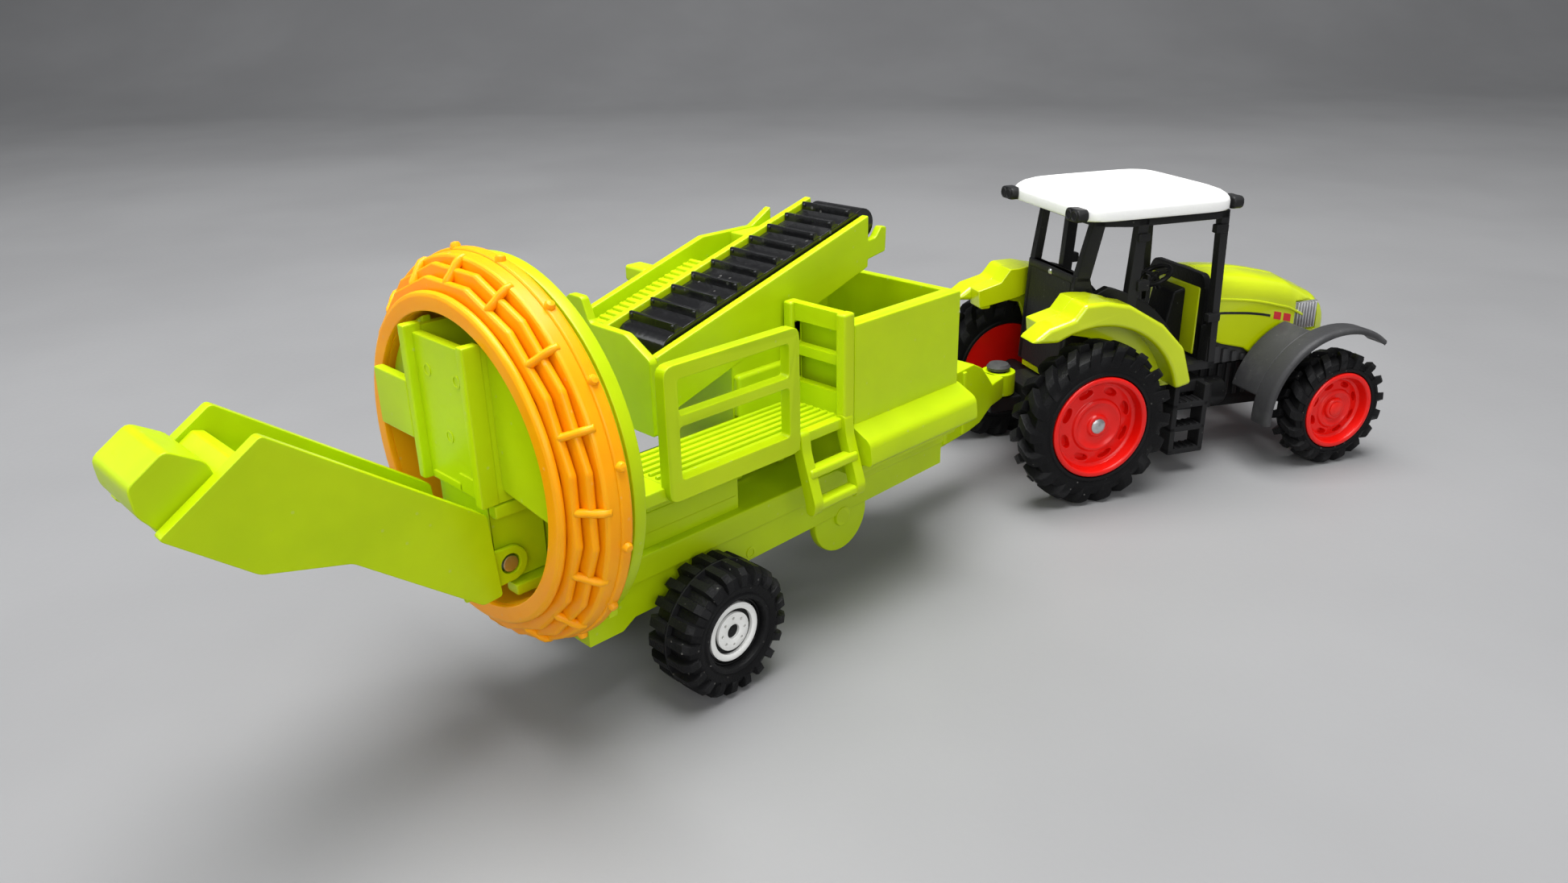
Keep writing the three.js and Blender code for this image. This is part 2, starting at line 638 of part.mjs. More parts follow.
// The fixed bearing inside the ring, with its flat rear panel and the tab that keeps the ring on.
function ringCarrier() {
  const fit = RING_INNER_R - GAP - 0.1;
  const frontX = FRAME_REAR_X - GAP - DISC_THICKNESS - GAP;
  const rearX = RING_REAR_X - 0.5;
  const panelLowZ = ARM_PIVOT[1] + 7.9;
  const panelHalf = ARM_HALF_WIDTH;
  const panelTopZ = RING_Z + Math.sqrt(fit * fit - panelHalf * panelHalf) - 0.2;
  const panel = block([rearX, rearX + PLATE], [-panelHalf, panelHalf], [panelLowZ, panelTopZ - 0.9]);
  const posts = SIDES.map((side) => (
    block([rearX - 1.0, rearX + PLATE], both([panelHalf - 1.4, panelHalf], side), [panelLowZ, panelTopZ])
  ));
  const webs = SIDES.map((side) => (
    block([rearX + 0.5, frontX], both([panelHalf - PLATE, panelHalf], side), [panelLowZ, panelTopZ - 0.3])
  ));
  const lowEnd = -THREE.MathUtils.radToDeg(Math.asin(3.2 / fit));
  const highEnd = THREE.MathUtils.radToDeg(Math.acos((panelHalf - 0.4) / fit));
  const sectors = SIDES.map((side) => {
    const rim = arcPoints([0, RING_Z], fit, side > 0 ? 15 : lowEnd, highEnd, 9);
    const outline = [[panelHalf - 0.4, rim[0][1] + 1.4], ...rim];
    return endPlate(outline.map(([y, z]) => [side * y, z]), [RING_REAR_X + 2.6, RING_REAR_X + 2.6 + PLATE]);
  });
  const tab = block(
    [RING_REAR_X - GAP - PLATE, RING_REAR_X - GAP],
    [panelHalf - 0.4, RING_INNER_R + 1.6],
    [RING_Z + 2.0, RING_Z + 8.6],
  );
  const tabWeb = block(
    [RING_REAR_X - 0.8, frontX],
    [panelHalf - 0.4, RING_INNER_R - 3.9],
    [RING_Z + 2.0, RING_Z + 3.2],
  );

  // The lower block holds the arm's pivot pin between the arm's two cheeks.
  const cheekGap = ARM_HALF_WIDTH - ARM_WALL - GAP;
  const hub = block(
    [ARM_PIVOT[0] - 1.6, frontX],
    [-cheekGap, cheekGap],
    [ARM_PIVOT[1] - 2.6, panelLowZ + 0.5],
  );
  const pinBore = rodY(AXLE_R + RUN, [-ARM_HALF_WIDTH, ARM_HALF_WIDTH], ARM_PIVOT, 20);
  return cut(join(panel, ...posts, ...webs, ...sectors, tab, tabWeb, hub), pinBore);
}

// ---- rear arm
function rearArm() {
  const [px, pz] = ARM_PIVOT;
  const baseTop = [px - 2.6, pz + 7.2];
  const peak = [px - 23.8, pz + 23.0];
  const tip = [px - 34.0, pz + 16.2];
  const side = [
    baseTop,
    peak,
    tip,
    [px - 26.4, pz + 9.7],
    [px - 17.7, pz + 7.4],
    [px - 4.4, pz - 3.2],
    ...arcPoints(ARM_PIVOT, 2.5, -95, 75, 8),
  ];
  const half = ARM_HALF_WIDTH;
  const walls = SIDES.map((s) => sidePlate(side, both([half - ARM_WALL, half], s)));
  const rise = (peak[1] - baseTop[1]) / (baseTop[0] - peak[0]);
  const topZ = (x) => baseTop[1] + (baseTop[0] - x) * rise;
  const drop = ARM_DEPTH / Math.cos(Math.atan(rise));
  const floorRear = peak[0] - 1.0;
  const floorFront = baseTop[0] - 1.4;
  const floor = sidePlate([
    [floorFront, topZ(floorFront) - drop],
    [floorRear, topZ(floorRear) - drop],
    [floorRear, topZ(floorRear) - drop - 1.8],
    [floorFront, topZ(floorFront) - drop - 1.8],
  ], [-half + 0.5, half - 0.5]);
  const endRise = (peak[1] - tip[1]) / (peak[0] - tip[0]);
  const endZ = (x) => tip[1] + (x - tip[0]) * endRise;
  const endSlab = sidePlate([
    [peak[0] - 2.2, endZ(peak[0] - 2.2) - 0.6],
    [tip[0] + 0.6, tip[1] - 0.4],
    [tip[0] + 2.4, tip[1] - 1.8],
    [peak[0] - 0.8, peak[1] - 8.2],
    [peak[0] - 1.0, peak[1] - 2.4],
  ], [-half + 0.5, half - 0.5]);
  const hood = sidePlate([
    [tip[0] + 0.9, tip[1] - 0.3],
    [tip[0] - 0.8, tip[1] + 2.0],
    [tip[0] - 1.0, tip[1] + 4.7],
    [tip[0] + 2.6, tip[1] + 7.2],
    [tip[0] + 5.8, tip[1] + 5.2],
    [tip[0] + 6.4, endZ(tip[0] + 6.4) - 1.2],
  ], [-5.0, 5.0]);
  const pinBore = rodY(AXLE_R + GAP, [-half - 1, half + 1], ARM_PIVOT, 20);
  return cut(join(...walls, floor, endSlab, hood), pinBore);
}

// ---- side platform with its railing, ladder panel and steps
function sidePlatform() {
  const out = PLATFORM_OUT_Y;
  const rearX = PLATFORM_REAR_X;
  const stepRearX = STEP_FRONT_X - 10.0;
  const innerY = conveyorNearY - 0.6;
  const topZ = PLATFORM_Z + RAIL_HEIGHT;
  const deck = block(
    [rearX + 0.4, STEP_FRONT_X - 0.2],
    [out + 0.5, innerY],
    [PLATFORM_Z - 1.9, PLATFORM_Z - 0.4],
  );
  const ribs = [];
  const ribCount = 6;
  for (let i = 0; i < ribCount; i += 1) {
    const y = out + 2.0 + i * 1.5;
    ribs.push(block([rearX + 0.6, STEP_FRONT_X - 1.4], [y, y + 0.7], [PLATFORM_Z - 0.6, PLATFORM_Z]));
  }
  const edge = block([rearX, stepRearX + 0.2], [out, out + 1.4], [PLATFORM_Z - 2.5, PLATFORM_Z + 0.2]);
  const rearPost = block([rearX, rearX + 2.0], [out, out + 1.6], [PLATFORM_Z - 2.5, topZ]);
  const frontPost = block([stepRearX - 1.9, stepRearX], [out, out + 1.6], [PLATFORM_Z - 2.5, topZ]);
  const topRail = block([rearX, stepRearX], [out, out + 1.7], [topZ - 1.8, topZ]);
  const midRail = block(
    [rearX, stepRearX],
    [out + 0.1, out + 1.5],
    [topZ - RAIL_HEIGHT * 0.53, topZ - RAIL_HEIGHT * 0.43],
  );

  const windowY = [out + 1.9, innerY - 1.5];
  const windows = [[0.19, 0.45], [0.55, 0.78]].map((share) => {
    const [low, high] = share.map((part) => PLATFORM_Z + RAIL_HEIGHT * part);
    return [[windowY[0], low], [windowY[1], low], [windowY[1], high], [windowY[0], high]];
  });
  const ladder = endPlate([
    [out + 0.2, PLATFORM_Z - 1.5],
    [innerY, PLATFORM_Z - 1.5],
    [innerY, topZ - 0.7],
    [out + 0.2, topZ - 0.7],
  ], [STEP_FRONT_X - 1.0, STEP_FRONT_X + 0.4], windows);
  const stile = [
    [out + 1.6, PLATFORM_Z],
    [out, PLATFORM_Z],
    [out - 0.3, PLATFORM_Z - 2.7],
    [out - 2.5, PLATFORM_Z - 9.6],
    [out - 2.1, PLATFORM_Z - 11.2],
    [out - 0.8, PLATFORM_Z - 11.2],
    [out - 0.6, PLATFORM_Z - 9.6],
    [out + 1.4, PLATFORM_Z - 2.7],
  ];
  const stileWidth = 1.7;
  const stileX = [stepRearX, STEP_FRONT_X - stileWidth];
  const stiles = stileX.map((x) => endPlate(stile, [x, x + stileWidth]));
  const rung = (y, z) => block([stepRearX + 0.5, STEP_FRONT_X - 0.5], [y, y + 1.7], [z, z + 1.3]);
  const rungs = [rung(out - 1.5, PLATFORM_Z - 6.3), rung(out - 2.3, PLATFORM_Z - 10.7)];

  // A low wall stands on the chassis box and a bracket reaches back to the backing disc.
  const wallY = FRAME_HALF_WIDTH - PLATE;
  const wall = block([rearX + 0.6, DECK_BOX_FRONT_X - 0.4], [-wallY - 1.2, -wallY], [
    DECK_BOX_TOP_Z + GAP,
    PLATFORM_Z - 1.7,
  ]);
  const bracket = block(
    [FRAME_REAR_X + GAP, rearX + 1.5],
    [out + 1.0, out + 5.5],
    [PLATFORM_Z - 2.4, PLATFORM_Z - 0.4],
  );
  const railing = [edge, rearPost, frontPost, topRail, midRail];
  return join(deck, ...ribs, ...railing, ladder, ...stiles, ...rungs, wall, bracket);
}

function buildHarvester() {
  addPiece(harvester, 'harvester_chassis', harvesterChassis(), LIME, 0.4);
  addPiece(harvester, 'hopper', hopper(), LIME, 0.4);
  addPiece(harvester, 'conveyor_frame', conveyorFrame(), LIME, 0.4);
  addPiece(harvester, 'conveyor_belt', conveyorBelt(), BLACK, 0.3);
  addPiece(harvester, 'side_platform', sidePlatform(), LIME, 0.4);
  addPiece(harvester, 'backing_disc', backingDisc(), LIME, 0.4);
  addPiece(harvester, 'ring_carrier', ringCarrier(), LIME, 0.4);
  const ring = addPiece(harvester, 'lifting_ring', liftingRing(), ORANGE, 0.4);
  ring.position.set((RING_REAR_X + RING_FRONT_X) / 2, 0, RING_Z);
  addPiece(harvester, 'rear_arm', rearArm(), LIME, 0.4);
  const pinReach = ARM_HALF_WIDTH - 0.1;
  addPiece(harvester, 'arm_pin', rodY(AXLE_R, [-pinReach, pinReach], ARM_PIVOT, 16), STEEL, 0.3, 0.9);

  addWheelPair(harvester, 'harvester', {
    x: 0,
    radius: TRAIL_WHEEL_R,
    width: TRAIL_TYRE_WIDTH,
    track: TRAIL_TRACK,
    headOut: TRAIL_TYRE_WIDTH * 0.28,
    rimColor: WHITE,
    tyre: () => blockTyre(TRAIL_WHEEL_R, TRAIL_HUB_R + GAP, TRAIL_TYRE_WIDTH, TRAIL_LUGS),
    rim: (bore) => turned([
      [bore, -TRAIL_TYRE_WIDTH * 0.4],
      [TRAIL_HUB_R, -TRAIL_TYRE_WIDTH * 0.4],
      [TRAIL_HUB_R, TRAIL_TYRE_WIDTH * 0.36],
      [TRAIL_HUB_R * 0.8, TRAIL_TYRE_WIDTH * 0.36],
      [TRAIL_HUB_R * 0.8, TRAIL_TYRE_WIDTH * 0.28],
      [bore, TRAIL_TYRE_WIDTH * 0.28],
      [bore, -TRAIL_TYRE_WIDTH * 0.4],
    ], 24),
  });
}

// ---------------------------------------------------------------- tractor
const REAR_AXLE_X = REAR_WHEEL_R - 5.0;
const FRONT_AXLE_X = REAR_AXLE_X + WHEELBASE;
const TRACTOR_TRACK = 2 * (CASTING_HALF_WIDTH + 0.5 + REAR_TYRE_WIDTH);   // over the outer faces
const CAB_HALF_WIDTH = CASTING_HALF_WIDTH - 1.0 - GAP;
const CAB_FRONT_X = FRONT_AXLE_X - 22.3;
const FLOOR_Z = REAR_WHEEL_R + FLOOR_RISE;
const CAB_FLOOR_Z = FLOOR_Z + FLOOR_SKIN + GAP;
const ROOF_Z = FLOOR_Z + ROOF_RISE;
const ROOF_X = [REAR_AXLE_X - 2.2, CAB_FRONT_X - 0.2];
const ROOF_HALF_WIDTH = CAB_HALF_WIDTH + 2.3;
const HOOD_FRONT_X = FRONT_AXLE_X + 7.4;
const FRONT_GUARD_R = FRONT_WHEEL_R + 3.65;
const LAMP_X = [HOOD_FRONT_X - 9.4, HOOD_FRONT_X - 4.0];
const LAMP_Z = [FLOOR_Z + 4.8, FLOOR_Z + 10.6];
const rearHub = [REAR_AXLE_X, REAR_WHEEL_R];
const frontHub = [FRONT_AXLE_X, FRONT_WHEEL_R];
const ARCH_R = REAR_WHEEL_R + 2.4;

function tractorChassis() {
  const half = 5.2;
  const topZ = FLOOR_Z - GAP;
  const rearX = EYE_R + GAP;
  const frontX = FRONT_AXLE_X + 5.4;
  const stepX = [REAR_AXLE_X + ARCH_R + 1.8, REAR_AXLE_X + ARCH_R + 9.0];
  const spine = sidePlate([
    [rearX, REAR_WHEEL_R - 2.4],
    [REAR_AXLE_X - 2.5, REAR_WHEEL_R - 4.4],
    [REAR_AXLE_X + 6, REAR_WHEEL_R - 5.0],
    [FRONT_AXLE_X - 8, FRONT_WHEEL_R - 2.4],
    [frontX, FRONT_WHEEL_R - 2.8],
    [frontX, topZ],
    [rearX, topZ],
  ], [-half, half]);
  const tongue = block([-2.6, rearX + 1], [-2.6, 2.6], [EYE_Z[0] - GAP - 2.6, EYE_Z[0] - GAP]);
  const housingReach = CASTING_HALF_WIDTH - 0.6;
  const rearHousing = rodY(FLOOR_RISE - 2 * GAP, [-housingReach, housingReach], rearHub, 20);
  const sideFloor = block(
    [REAR_AXLE_X + 13, stepX[1] + 0.8],
    [-CAB_HALF_WIDTH, CAB_HALF_WIDTH],
    [FLOOR_Z - GAP - 2.2, topZ],
  );
  const frontBeam = block(
    [FRONT_AXLE_X - 2.4, FRONT_AXLE_X + 2.4],
    [-TRACTOR_TRACK / 2 + FRONT_TYRE_WIDTH + 0.8, TRACTOR_TRACK / 2 - FRONT_TYRE_WIDTH - 0.8],
    [FRONT_WHEEL_R - 2.4, FRONT_WHEEL_R + 2.4],
  );
  const steps = SIDES.flatMap((side) => {
    const stepY = both([CAB_HALF_WIDTH - 0.6, CAB_HALF_WIDTH + 2.6], side);
    const cheekX = [stepX[0], stepX[1] - 1.1];
    const cheeks = cheekX.map((x) => block([x, x + 1.1], stepY, [topZ - 12.5, topZ]));
    const treads = [12.8, 8.5, 4.1].map((drop) => block(stepX, stepY, [topZ - drop, topZ - drop + 1.1]));
    return [...cheeks, ...treads];
  });
  const tanks = SIDES.map((side) => rodX(
    2.6,
    [FRONT_AXLE_X - FRONT_GUARD_R - 7.9, FRONT_AXLE_X - FRONT_GUARD_R - 2.4],
    [side * (half + 1.6), FLOOR_Z - 4.6],
    12,
  ));
  const rearBore = rodY(AXLE_R + RUN, [-TRACTOR_TRACK, TRACTOR_TRACK], rearHub, 20);
  const frontBore = rodY(AXLE_R + RUN, [-TRACTOR_TRACK, TRACTOR_TRACK], frontHub, 20);
  const pinBore = rodZ(PIN_R + GAP, [0, EYE_Z[1]], [0, 0], 20);
  const whole = join(spine, tongue, rearHousing, sideFloor, frontBeam, ...steps, ...tanks);
  return cut(whole, rearBore, frontBore, pinBore);
}

// The glossy casting: hood, floor plate and both rear mudguards in one piece.
function tractorCasting() {
  const topZ = FLOOR_Z + HOOD_RISE;
  const hoodSide = [
    [CAB_FRONT_X + 1.2, FLOOR_Z],
    [CAB_FRONT_X + 1.2, topZ],
    [CAB_FRONT_X + 10, topZ - 0.8],
    [CAB_FRONT_X + 19, topZ - 2.8],
    [HOOD_FRONT_X - 4.2, topZ - 5.8],
    [HOOD_FRONT_X - 1.0, topZ - 8.8],
    [HOOD_FRONT_X, FLOOR_Z + 5.6],
    [HOOD_FRONT_X - 0.6, FLOOR_Z + 1.2],
    [HOOD_FRONT_X - 3.0, FLOOR_Z],
  ];
  const half = HOOD_HALF_WIDTH;
  const crown = [
    [-half, FLOOR_Z - 1],
    [half, FLOOR_Z - 1],
    [half, topZ - 3.4],
    [half - 0.8, topZ - 1.4],
    [half - 3.0, topZ],
    [3.0 - half, topZ],
    [0.8 - half, topZ - 1.4],
    [-half, topZ - 3.4],
  ];
  const plan = [
    [CAB_FRONT_X, -half],
    [HOOD_FRONT_X - 5.0, -half],
    [HOOD_FRONT_X - 1.6, -half + 1.0],
    [HOOD_FRONT_X + 1, -half + 3.4],
    [HOOD_FRONT_X + 1, half - 3.4],
    [HOOD_FRONT_X - 1.6, half - 1.0],
    [HOOD_FRONT_X - 5.0, half],
    [CAB_FRONT_X, half],
  ];
  const hoodBlock = within(
    within(sidePlate(hoodSide, [-half - 1, half + 1]), planPlate(plan, [0, topZ + 1])),
    endPlate(crown, [CAB_FRONT_X - 1, HOOD_FRONT_X + 2]),
  );
  // The side cheeks rise towards the cab, so the engine's dark base shows below them.
  const cheekCut = SIDES.map((side) => sidePlate([
    [CAB_FRONT_X, FLOOR_Z - 1],
    [CAB_FRONT_X, FLOOR_Z + 5.8],
    [CAB_FRONT_X + 5, FLOOR_Z + 4.2],
    [CAB_FRONT_X + 11, FLOOR_Z + 2.6],
    [CAB_FRONT_X + 13, FLOOR_Z - 1],
  ], both([half - 1.2, half + 2], side)));
  const lampPockets = SIDES.map((side) => block(LAMP_X, both([half - 1.0, half + 2], side), LAMP_Z));
  const floor = block(
    [EYE_R + 0.5, CAB_FRONT_X + 2],
    [-CASTING_HALF_WIDTH, CASTING_HALF_WIDTH],
    [FLOOR_Z, FLOOR_Z + FLOOR_SKIN],
  );
  const guards = SIDES.flatMap((side) => {
    const [ax, az] = rearHub;
    const outline = [
      [ax - ARCH_R + 4.0, az + ARCH_R - 1.4],
      [ax - 9.2, az + ARCH_R + 0.8],
      [ax - 4.8, az + ARCH_R + 1.9],
      [ax - 3.0, az + ARCH_R + 4.2],
      [ax + 1.0, az + ARCH_R + 4.2],
      [ax + 5.5, az + ARCH_R + 3.2],
      [ax + 12.3, az + ARCH_R - 0.8],
      [ax + 16.9, az + ARCH_R - 5.4],
      [ax + ARCH_R + 2.8, az + 4.4],
      ...arcPoints(rearHub, ARCH_R, 13, 117, 12),
    ];
    const skirtY = both([CASTING_HALF_WIDTH - 1.0, TRACTOR_TRACK / 2 - 2.9], side);
    const wallOutline = [
      [ax - 5.5, FLOOR_Z],
      [ax - 9.4, az + ARCH_R - 2.2],
      [ax - 5.0, az + ARCH_R + 1.4],
      ...arcPoints(rearHub, ARCH_R + 2.0, 100, 12, 9),
      [ax + ARCH_R + 1.2, FLOOR_Z],
    ];
    const wall = sidePlate(wallOutline, both([CASTING_HALF_WIDTH - 1.0, CASTING_HALF_WIDTH], side));
    // Behind the widening cab each mudguard reaches inwards as a thick shelf.
    const shelfSide = [
      [ax - 8.8, az + ARCH_R - 2.4],
      [ax + 3.6, az + ARCH_R - 0.4],
      [ax + 3.6, az + ARCH_R + 3.6],
      ...outline.slice(1, 5).reverse(),
    ];
    const shelfGap = 1.2;
    const cabSideY = (x) => CAB_HALF_WIDTH - CAB_TAPER * (ax + 8.2 - x) / 9.4;
    const shelfPlan = [
      [ax - 12, cabSideY(ax - 1.2) + shelfGap],
      [ax - 1.2, cabSideY(ax - 1.2) + shelfGap],
      [ax + 3.6, cabSideY(ax + 3.6) + shelfGap],
      [ax + 3.6, CASTING_HALF_WIDTH - 0.2],
      [ax - 12, CASTING_HALF_WIDTH - 0.2],
    ];
    const shelf = within(
      sidePlate(shelfSide, [-CASTING_HALF_WIDTH, CASTING_HALF_WIDTH]),
      planPlate(shelfPlan.map(([x, y]) => [x, side * y]), [0, topZ * 2]),
    );
    return [sidePlate(outline, skirtY), wall, shelf];
  });
  return cut(join(hoodBlock, floor, ...guards), ...cheekCut, ...lampPockets);
}

function headlight(side) {
  const lampY = both([HOOD_HALF_WIDTH - 1.0 + GAP, HOOD_HALF_WIDTH + 0.1], side);
  return block([LAMP_X[0] + GAP, LAMP_X[1] - GAP], lampY, [LAMP_Z[0] + GAP, LAMP_Z[1] - GAP]);
}

function cabFrame() {
  const floorZ = CAB_FLOOR_Z;
  const half = CAB_HALF_WIDTH;
  const rearHalf = CAB_HALF_WIDTH - CAB_TAPER;
  const post = 1.5;
  const beltlineZ = rearHub[1] + ARCH_R + 1.6;
  const rearSillZ = beltlineZ + 4.8;
  const topZ = ROOF_Z - GAP;
  const rearX = REAR_AXLE_X - 1.2;
  const rearSillX = REAR_AXLE_X + 0.2;
  const rearTopX = REAR_AXLE_X + 2.4;
  const middleX = REAR_AXLE_X + 8.2;
  const frontX = CAB_FRONT_X + 1.0 - GAP;

  // Seen from above, each side narrows from the middle post to the rear window.
  const sidePlan = [
    [rearX, rearHalf - post],
    [middleX, half - post],
    [frontX, half - post],
    [frontX, half],
    [middleX, half],
    [rearX, rearHalf],
  ];
  const reach = [-half - 1, half + 1];
  const rearPost = sidePlate([
    [rearSillX, rearSillZ - 1],
    [rearSillX + 2.2, rearSillZ - 1],
    [rearTopX + 1.9, topZ],
    [rearTopX, topZ],
  ], reach);
  const middlePost = sidePlate([
    [middleX - 0.2, beltlineZ - 3],
    [middleX + 1.8, beltlineZ - 3],
    [middleX + 3.0, topZ],
    [middleX + 1.0, topZ],
  ], reach);
  const frontPost = sidePlate([
    [CAB_FRONT_X - 0.6, floorZ],
    [frontX, floorZ],
    [CAB_FRONT_X - 0.2, topZ],
    [CAB_FRONT_X - 1.8, topZ],
  ], reach);
  // The lower side panel follows the mudguard's arch and shows as a dark edge above it.
  const panel = sidePlate([
    [rearX, floorZ],
    [rearSillX, rearSillZ],
    [rearSillX + 2.2, rearSillZ],
    [rearSillX + 3.0, beltlineZ + 1.6],
    ...arcPoints(rearHub, ARCH_R + 4.2, 76, 14, 8),
    [REAR_AXLE_X + ARCH_R + 4.0, floorZ],
  ], reach);
  const sill = block([REAR_AXLE_X + ARCH_R, frontX], reach, [floorZ, floorZ + 1.2]);
  const eave = block([rearTopX, CAB_FRONT_X - 0.2], reach, [topZ - 1.5, topZ]);
  const bothSides = join(rearPost, middlePost, frontPost, panel, sill, eave);
  const sides = SIDES.map((side) => within(
    bothSides,
    planPlate(sidePlan.map(([x, y]) => [x, side * y]), [floorZ, topZ]),
  ));

  const rearWall = sidePlate([
    [rearX, floorZ],
    [rearX + 1.4, floorZ],
    [rearSillX + 1.4, rearSillZ],
    [rearSillX, rearSillZ],
  ], [0.2 - rearHalf, rearHalf - 0.2]);
  const floor = planPlate([
    [rearX + 0.2, 0.4 - rearHalf],
    [middleX, 0.4 - half],
    [frontX, 0.4 - half],
    [frontX, half - 0.4],
    [middleX, half - 0.4],
    [rearX + 0.2, rearHalf - 0.4],
  ], [floorZ, floorZ + 0.9]);
  const eaveZ = [topZ - 1.5, topZ];
  const rearEaveHalf = rearHalf + 0.8;
  const rearEave = block([rearTopX, rearTopX + 1.6], [-rearEaveHalf, rearEaveHalf], eaveZ);
  const frontEave = block([CAB_FRONT_X - 1.8, CAB_FRONT_X - 0.2], [0.2 - half, half - 0.2], eaveZ);
  const dashX = CAB_FRONT_X - 0.9;
  const screenFoot = block([dashX, dashX + 1.4], [0.4 - half, half - 0.4], [floorZ, FLOOR_Z + 9.0]);
  const cowlHalf = half - 2.5;
  const cowlTopZ = FLOOR_Z + HOOD_RISE + 0.2;
  const cowl = endPlate([
    [-cowlHalf, floorZ],
    [cowlHalf, floorZ],
    [cowlHalf, cowlTopZ - 2.6],
    [cowlHalf - 1.4, cowlTopZ],
    [1.4 - cowlHalf, cowlTopZ],
    [-cowlHalf, cowlTopZ - 2.6],
  ], [dashX, dashX + 1.4]);
  const console = sidePlate([
    [dashX - 5.0, floorZ],
    [dashX + 0.4, floorZ],
    [dashX + 0.4, cowlTopZ - 3.2],
    [dashX - 2.6, cowlTopZ - 4.0],
  ], [-3.2, 3.2]);
  return join(...sides, rearWall, floor, rearEave, frontEave, screenFoot, cowl, console);
}

function roofShell() {
  const half = ROOF_HALF_WIDTH;
  const [rearX, frontX] = ROOF_X;
  const topZ = ROOF_Z + ROOF_THICKNESS;
  const corner = 3.0;
  const plan = [
    [rearX + corner, -half],
    [frontX - corner, -half],
    [frontX, corner - half],
    [frontX, half - corner],
    [frontX - corner, half],
    [rearX + corner, half],
    [rearX, half - corner],
    [rearX, corner - half],
  ];
  const side = [
    [rearX, ROOF_Z],
    [frontX, ROOF_Z],
    [frontX, ROOF_Z + 1.4],
    [frontX - 1.6, topZ - 1.4],
    [frontX - 6.0, topZ],
    [rearX + 6.0, topZ],
    [rearX + 1.4, topZ - 1.4],
    [rearX, ROOF_Z + 1.6],
  ];
  const end = [
    [-half, ROOF_Z],
    [half, ROOF_Z],
    [half, ROOF_Z + 1.4],
    [half - 1.5, topZ - 1.4],
    [half - 5.5, topZ],
    [5.5 - half, topZ],
    [1.5 - half, topZ - 1.4],
    [-half, ROOF_Z + 1.4],
  ];
  return within(
    within(planPlate(plan, [ROOF_Z, topZ]), sidePlate(side, [-half, half])),
    endPlate(end, [rearX, frontX]),
  );
}

function roofLamp(rear, side) {
  const [rearX, frontX] = ROOF_X;
  const x = rear ? [rearX - 2.2, rearX - GAP] : [frontX + GAP, frontX + 2.2];
  const [y0, y1] = both([ROOF_HALF_WIDTH - 5.6, ROOF_HALF_WIDTH - 0.9], side);
  const [z0, z1] = [ROOF_Z, ROOF_Z + 2.4];
  return endPlate([
    [y0 + 0.6, z0],
    [y1 - 0.6, z0],
    [y1, z0 + 0.6],
    [y1, z1 - 0.6],
    [y1 - 0.6, z1],
    [y0 + 0.6, z1],
    [y0, z1 - 0.6],
    [y0, z0 + 0.6],
  ], x);
}

function seat() {
  const floorZ = CAB_FLOOR_Z + 0.9 + GAP;
  const backX = REAR_AXLE_X + 3.2;
  return sidePlate([
    [backX, floorZ],
    [backX + 7.4, floorZ],
    [backX + 8.2, floorZ + 6.4],
    [backX + 7.6, floorZ + 7.6],
    [backX + 2.6, floorZ + 7.2],
    [backX + 1.2, floorZ + 16.0],
    [backX - 0.6, floorZ + 16.4],
    [backX - 0.8, floorZ + 6.0],
  ], [-3.8, 3.8]);
}

function steeringWheel() {
  const rim = new THREE.TorusGeometry(2.9, 0.5, 6, 20);
  const hub = new THREE.CylinderGeometry(0.8, 0.8, 1.0, 10).rotateX(Math.PI / 2);
  const spokes = [0, 1, 2].map((i) => {
    const spoke = new THREE.BoxGeometry(2.6, 0.7, 0.6).translate(1.5, 0, 0);
    return spoke.rotateZ(Math.PI / 2 + TAU * i / 3);
  });
  const column = new THREE.CylinderGeometry(0.6, 0.6, 2.8, 10).rotateX(Math.PI / 2).translate(0, 0, -1.4);
  return join(rim, hub, ...spokes, column);
}

// A thin arched guard over each front wheel.
function frontGuard(side) {
  const y = both([TRACTOR_TRACK / 2 - FRONT_TYRE_WIDTH + 1.0, TRACTOR_TRACK / 2 - 1.0], side);
  const skin = 1.0;
  const band = sidePlate([
    ...arcPoints(frontHub, FRONT_GUARD_R + skin, 52, 186, 16),
    ...arcPoints(frontHub, FRONT_GUARD_R, 186, 52, 16),
  ], y);
  const innerY = both([HOOD_HALF_WIDTH + 2 * GAP, TRACTOR_TRACK / 2 - FRONT_TYRE_WIDTH + 1.3], side);
  const stay = sidePlate([
    ...arcPoints(frontHub, FRONT_GUARD_R + skin, 108, 168, 8),
    ...arcPoints(frontHub, FRONT_GUARD_R - 2.4, 168, 108, 8),
  ], innerY);
  return join(band, stay);
}

function hitchPin() {
  const lowZ = EYE_Z[0] - GAP - 2.9;
  const headZ = EYE_Z[1] + GAP;
  return join(
    rodZ(PIN_R, [lowZ, headZ + 0.5], [0, 0], 20),
    rodZ(PIN_R + 0.9, [headZ, headZ + 1.2], [0, 0], 20),
  );
}

